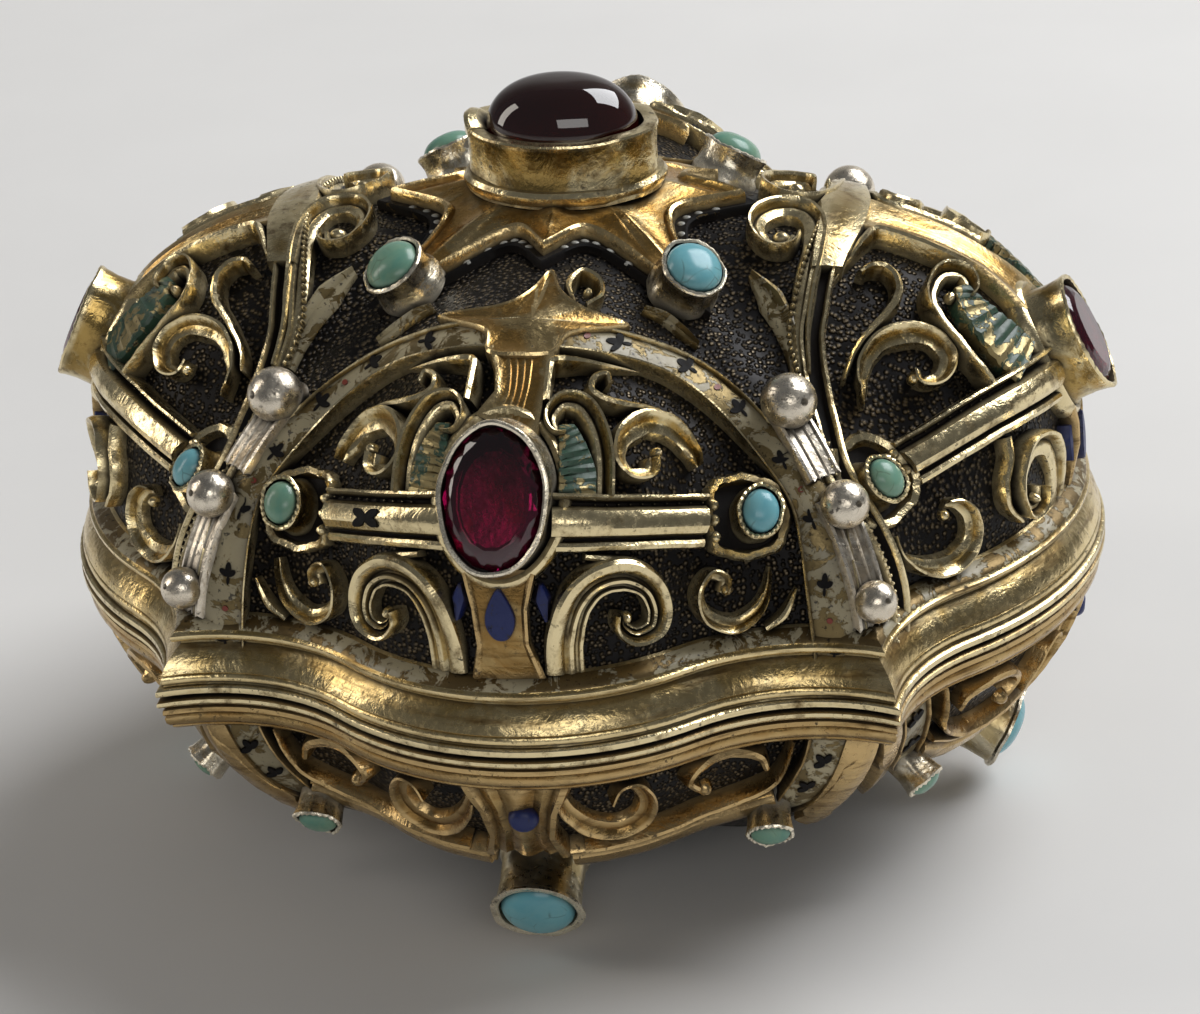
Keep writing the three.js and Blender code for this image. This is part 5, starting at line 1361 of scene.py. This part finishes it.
def hinge_rings(build, places, closed=False):
    """Rings round the hinge line, from sideways places and radii."""
    turn = circle(40)
    loops = []
    for x, radius in places:
        loops.append(np.stack([np.full(len(turn), x), HINGE_BACK + radius * np.cos(turn),
                               SEAM_HEIGHT + radius * np.sin(turn)], 1))
    rings(build, loops, closed=closed)


def knuckle(build, x, direction):
    """A bored knuckle and the finger that joins it to its leaf; the finger stays clear of the bore."""
    reach = KNUCKLE_LENGTH / 2
    inner = HINGE_BACK - KNUCKLE_RADIUS
    for near, ease, thickness in [(0.3, 0.05, 0.6), (1.15, 0.1, LEAF_THICKNESS - 0.05)]:
        ends = sorted([SEAM_HEIGHT + direction * near, SEAM_HEIGHT + direction * (LEAF_HEIGHT - 0.3 - ease)])
        side = reach - ease
        slab(build, (x - side, inner + ease, ends[0]), (x + side, inner + thickness, ends[1]), 0.06)
    bore = PIN_RADIUS + GAP
    full = KNUCKLE_RADIUS
    half = [(-reach, bore), (-reach, full - 0.16), (-reach + 0.16, full), (-0.95, full), (-0.85, full - 0.12),
            (-0.75, full)]
    places = half + [(-side, radius) for side, radius in reversed(half)]
    hinge_rings(build, [(x + side, radius) for side, radius in places], True)


def hinge():
    pitch = KNUCKLE_LENGTH + GAP
    half = (KNUCKLES * pitch - GAP) / 2
    outer = HINGE_BACK - KNUCKLE_RADIUS + LEAF_THICKNESS
    for body, direction, first in [("base", -1, 0), ("lid", 1, 1)]:
        build = Build()
        ends = sorted([SEAM_HEIGHT + direction * 1.9, SEAM_HEIGHT + direction * LEAF_HEIGHT])
        slab(build, (-half, outer - 3.0, ends[0]), (half, outer, ends[1]), 0.18)
        line = SEAM_HEIGHT + direction * (LEAF_HEIGHT - 0.55)
        slab(build, (-half + 0.5, outer - 0.3, line - 0.15), (half - 0.5, outer + 0.14, line + 0.15), 0.1)
        for i in range(first, KNUCKLES, 2):
            knuckle(build, -half + KNUCKLE_LENGTH / 2 + i * pitch, direction)
        build.make(body + "_hinge_plate", [M_RIM], body, [body + "_hinge_leaf"])
    pin = Build()
    end = [(-half - 0.25, 0.5), (-half - 0.2, 0.75), (-half, 0.9), (-half, PIN_RADIUS)]
    hinge_rings(pin, end + [(-side, radius) for side, radius in reversed(end)])
    pin.make("hinge_wire", [M_SILVER], "base", ["hinge_pin"])


def lid_panel(panel, face):
    lid_straps(panel, face)
    arch_band(panel, face)
    if face is FRONT_FACE:
        spandrels(panel)
    drops(panel, face)
    lid_stones(panel, face)


lid_shell()
base_shell()
rims()
for lid_side in LID_PANELS:
    lid_panel(lid_side, FRONT_FACE if lid_side.name in ("front", "back") else SIDE_FACE)
for corner_name, corner_angle in zip(CORNERS, CORNER_ANGLES):
    corner_rib(corner_angle, corner_name)
crown()
crooks()
for base_side in BASE_PANELS:
    base_panel(base_side)
hinge()


# Floor, light and camera

def floor():
    """A pale sweep, in metres: flat round the box and curved up behind it."""
    n = Shader("pale_floor")
    n.put("Base Color", n.mix(n.span(n.noise(30, 3), 0.3, 0.7), (0.74, 0.73, 0.71), (0.77, 0.76, 0.74)))
    n.put("Roughness", 0.7)
    start, radius = 0.55, 0.35
    profile = [(-1.6, 0.0), (start, 0.0)]
    for i in range(1, 13):
        a = math.pi / 2 * i / 12
        profile.append((start + radius * math.sin(a), radius - radius * math.cos(a)))
    profile.append((start + radius, 1.6))
    verts = [(x, y, z) for y, z in profile for x in (-2.2, 2.2)]
    faces = [[i, i + 1, i + 3, i + 2] for i in range(0, len(verts) - 2, 2)]
    mesh = bpy.data.meshes.new("floor")
    mesh.from_pydata(verts, [], faces)
    mesh.polygons.foreach_set("use_smooth", [True] * len(mesh.polygons))
    mesh.materials.append(n.material)
    item = bpy.data.objects.new("floor", mesh)
    bpy.context.scene.collection.objects.link(item)


def lamp(name, place, size, power, colour):
    light = bpy.data.lights.new(name, "AREA")
    light.shape = "RECTANGLE"
    light.size, light.size_y = size
    light.energy = power
    light.color = colour
    item = bpy.data.objects.new(name, light)
    item.location = place
    middle = Vector((0.0, 0.0, 0.03))
    item.rotation_euler = (middle - Vector(place)).to_track_quat("-Z", "Y").to_euler()
    bpy.context.scene.collection.objects.link(item)


def lights():
    lamp("window", (0.42, 0.34, 0.62), (0.62, 0.5), 7.0, (0.97, 0.98, 1.0))
    lamp("side", (-0.75, -0.05, 0.34), (0.2, 0.6), 1.4, (1.0, 0.93, 0.84))
    lamp("front", (0.25, -0.95, 0.50), (0.7, 0.35), 1.7, (1.0, 0.98, 0.95))
    world = bpy.data.worlds.new("room")
    world.use_nodes = True
    sky = world.node_tree.nodes["Background"]
    sky.inputs["Color"].default_value = (0.62, 0.64, 0.68, 1)
    sky.inputs["Strength"].default_value = 0.16
    bpy.context.scene.world = world


def camera():
    """The photograph's view: angles in radians, target and distance in millimetres, focus in pixels."""
    azimuth, elevation, roll = 0.186226366, 0.454393873, -0.0655221114
    distance, focal, target_x, target_z = 345.572, 4807.99, 0.892, 1.496
    right = np.array([math.cos(azimuth), math.sin(azimuth), 0.0])
    back = np.array([math.sin(azimuth) * math.cos(elevation), -math.cos(azimuth) * math.cos(elevation),
                     math.sin(elevation)])
    up = np.cross(back, right)
    place = np.array([target_x, 0.0, target_z + SEAM_HEIGHT]) + distance * back
    lens = bpy.data.cameras.new("camera")
    lens.sensor_fit = "HORIZONTAL"
    lens.sensor_width = SENSOR_WIDTH
    lens.lens = focal / PHOTO_WIDTH * SENSOR_WIDTH
    lens.clip_start = 0.01
    item = bpy.data.objects.new("camera", lens)
    columns = [math.cos(roll) * right + math.sin(roll) * up, math.cos(roll) * up - math.sin(roll) * right,
               back, place * MM]
    matrix = Matrix.Identity(4)
    for number, column in enumerate(columns):
        for axis in range(3):
            matrix[axis][number] = column[axis]
    item.matrix_world = matrix
    bpy.context.scene.collection.objects.link(item)
    bpy.context.scene.camera = item


floor()
lights()
camera()
bpy.context.scene.view_settings.view_transform = "Standard"
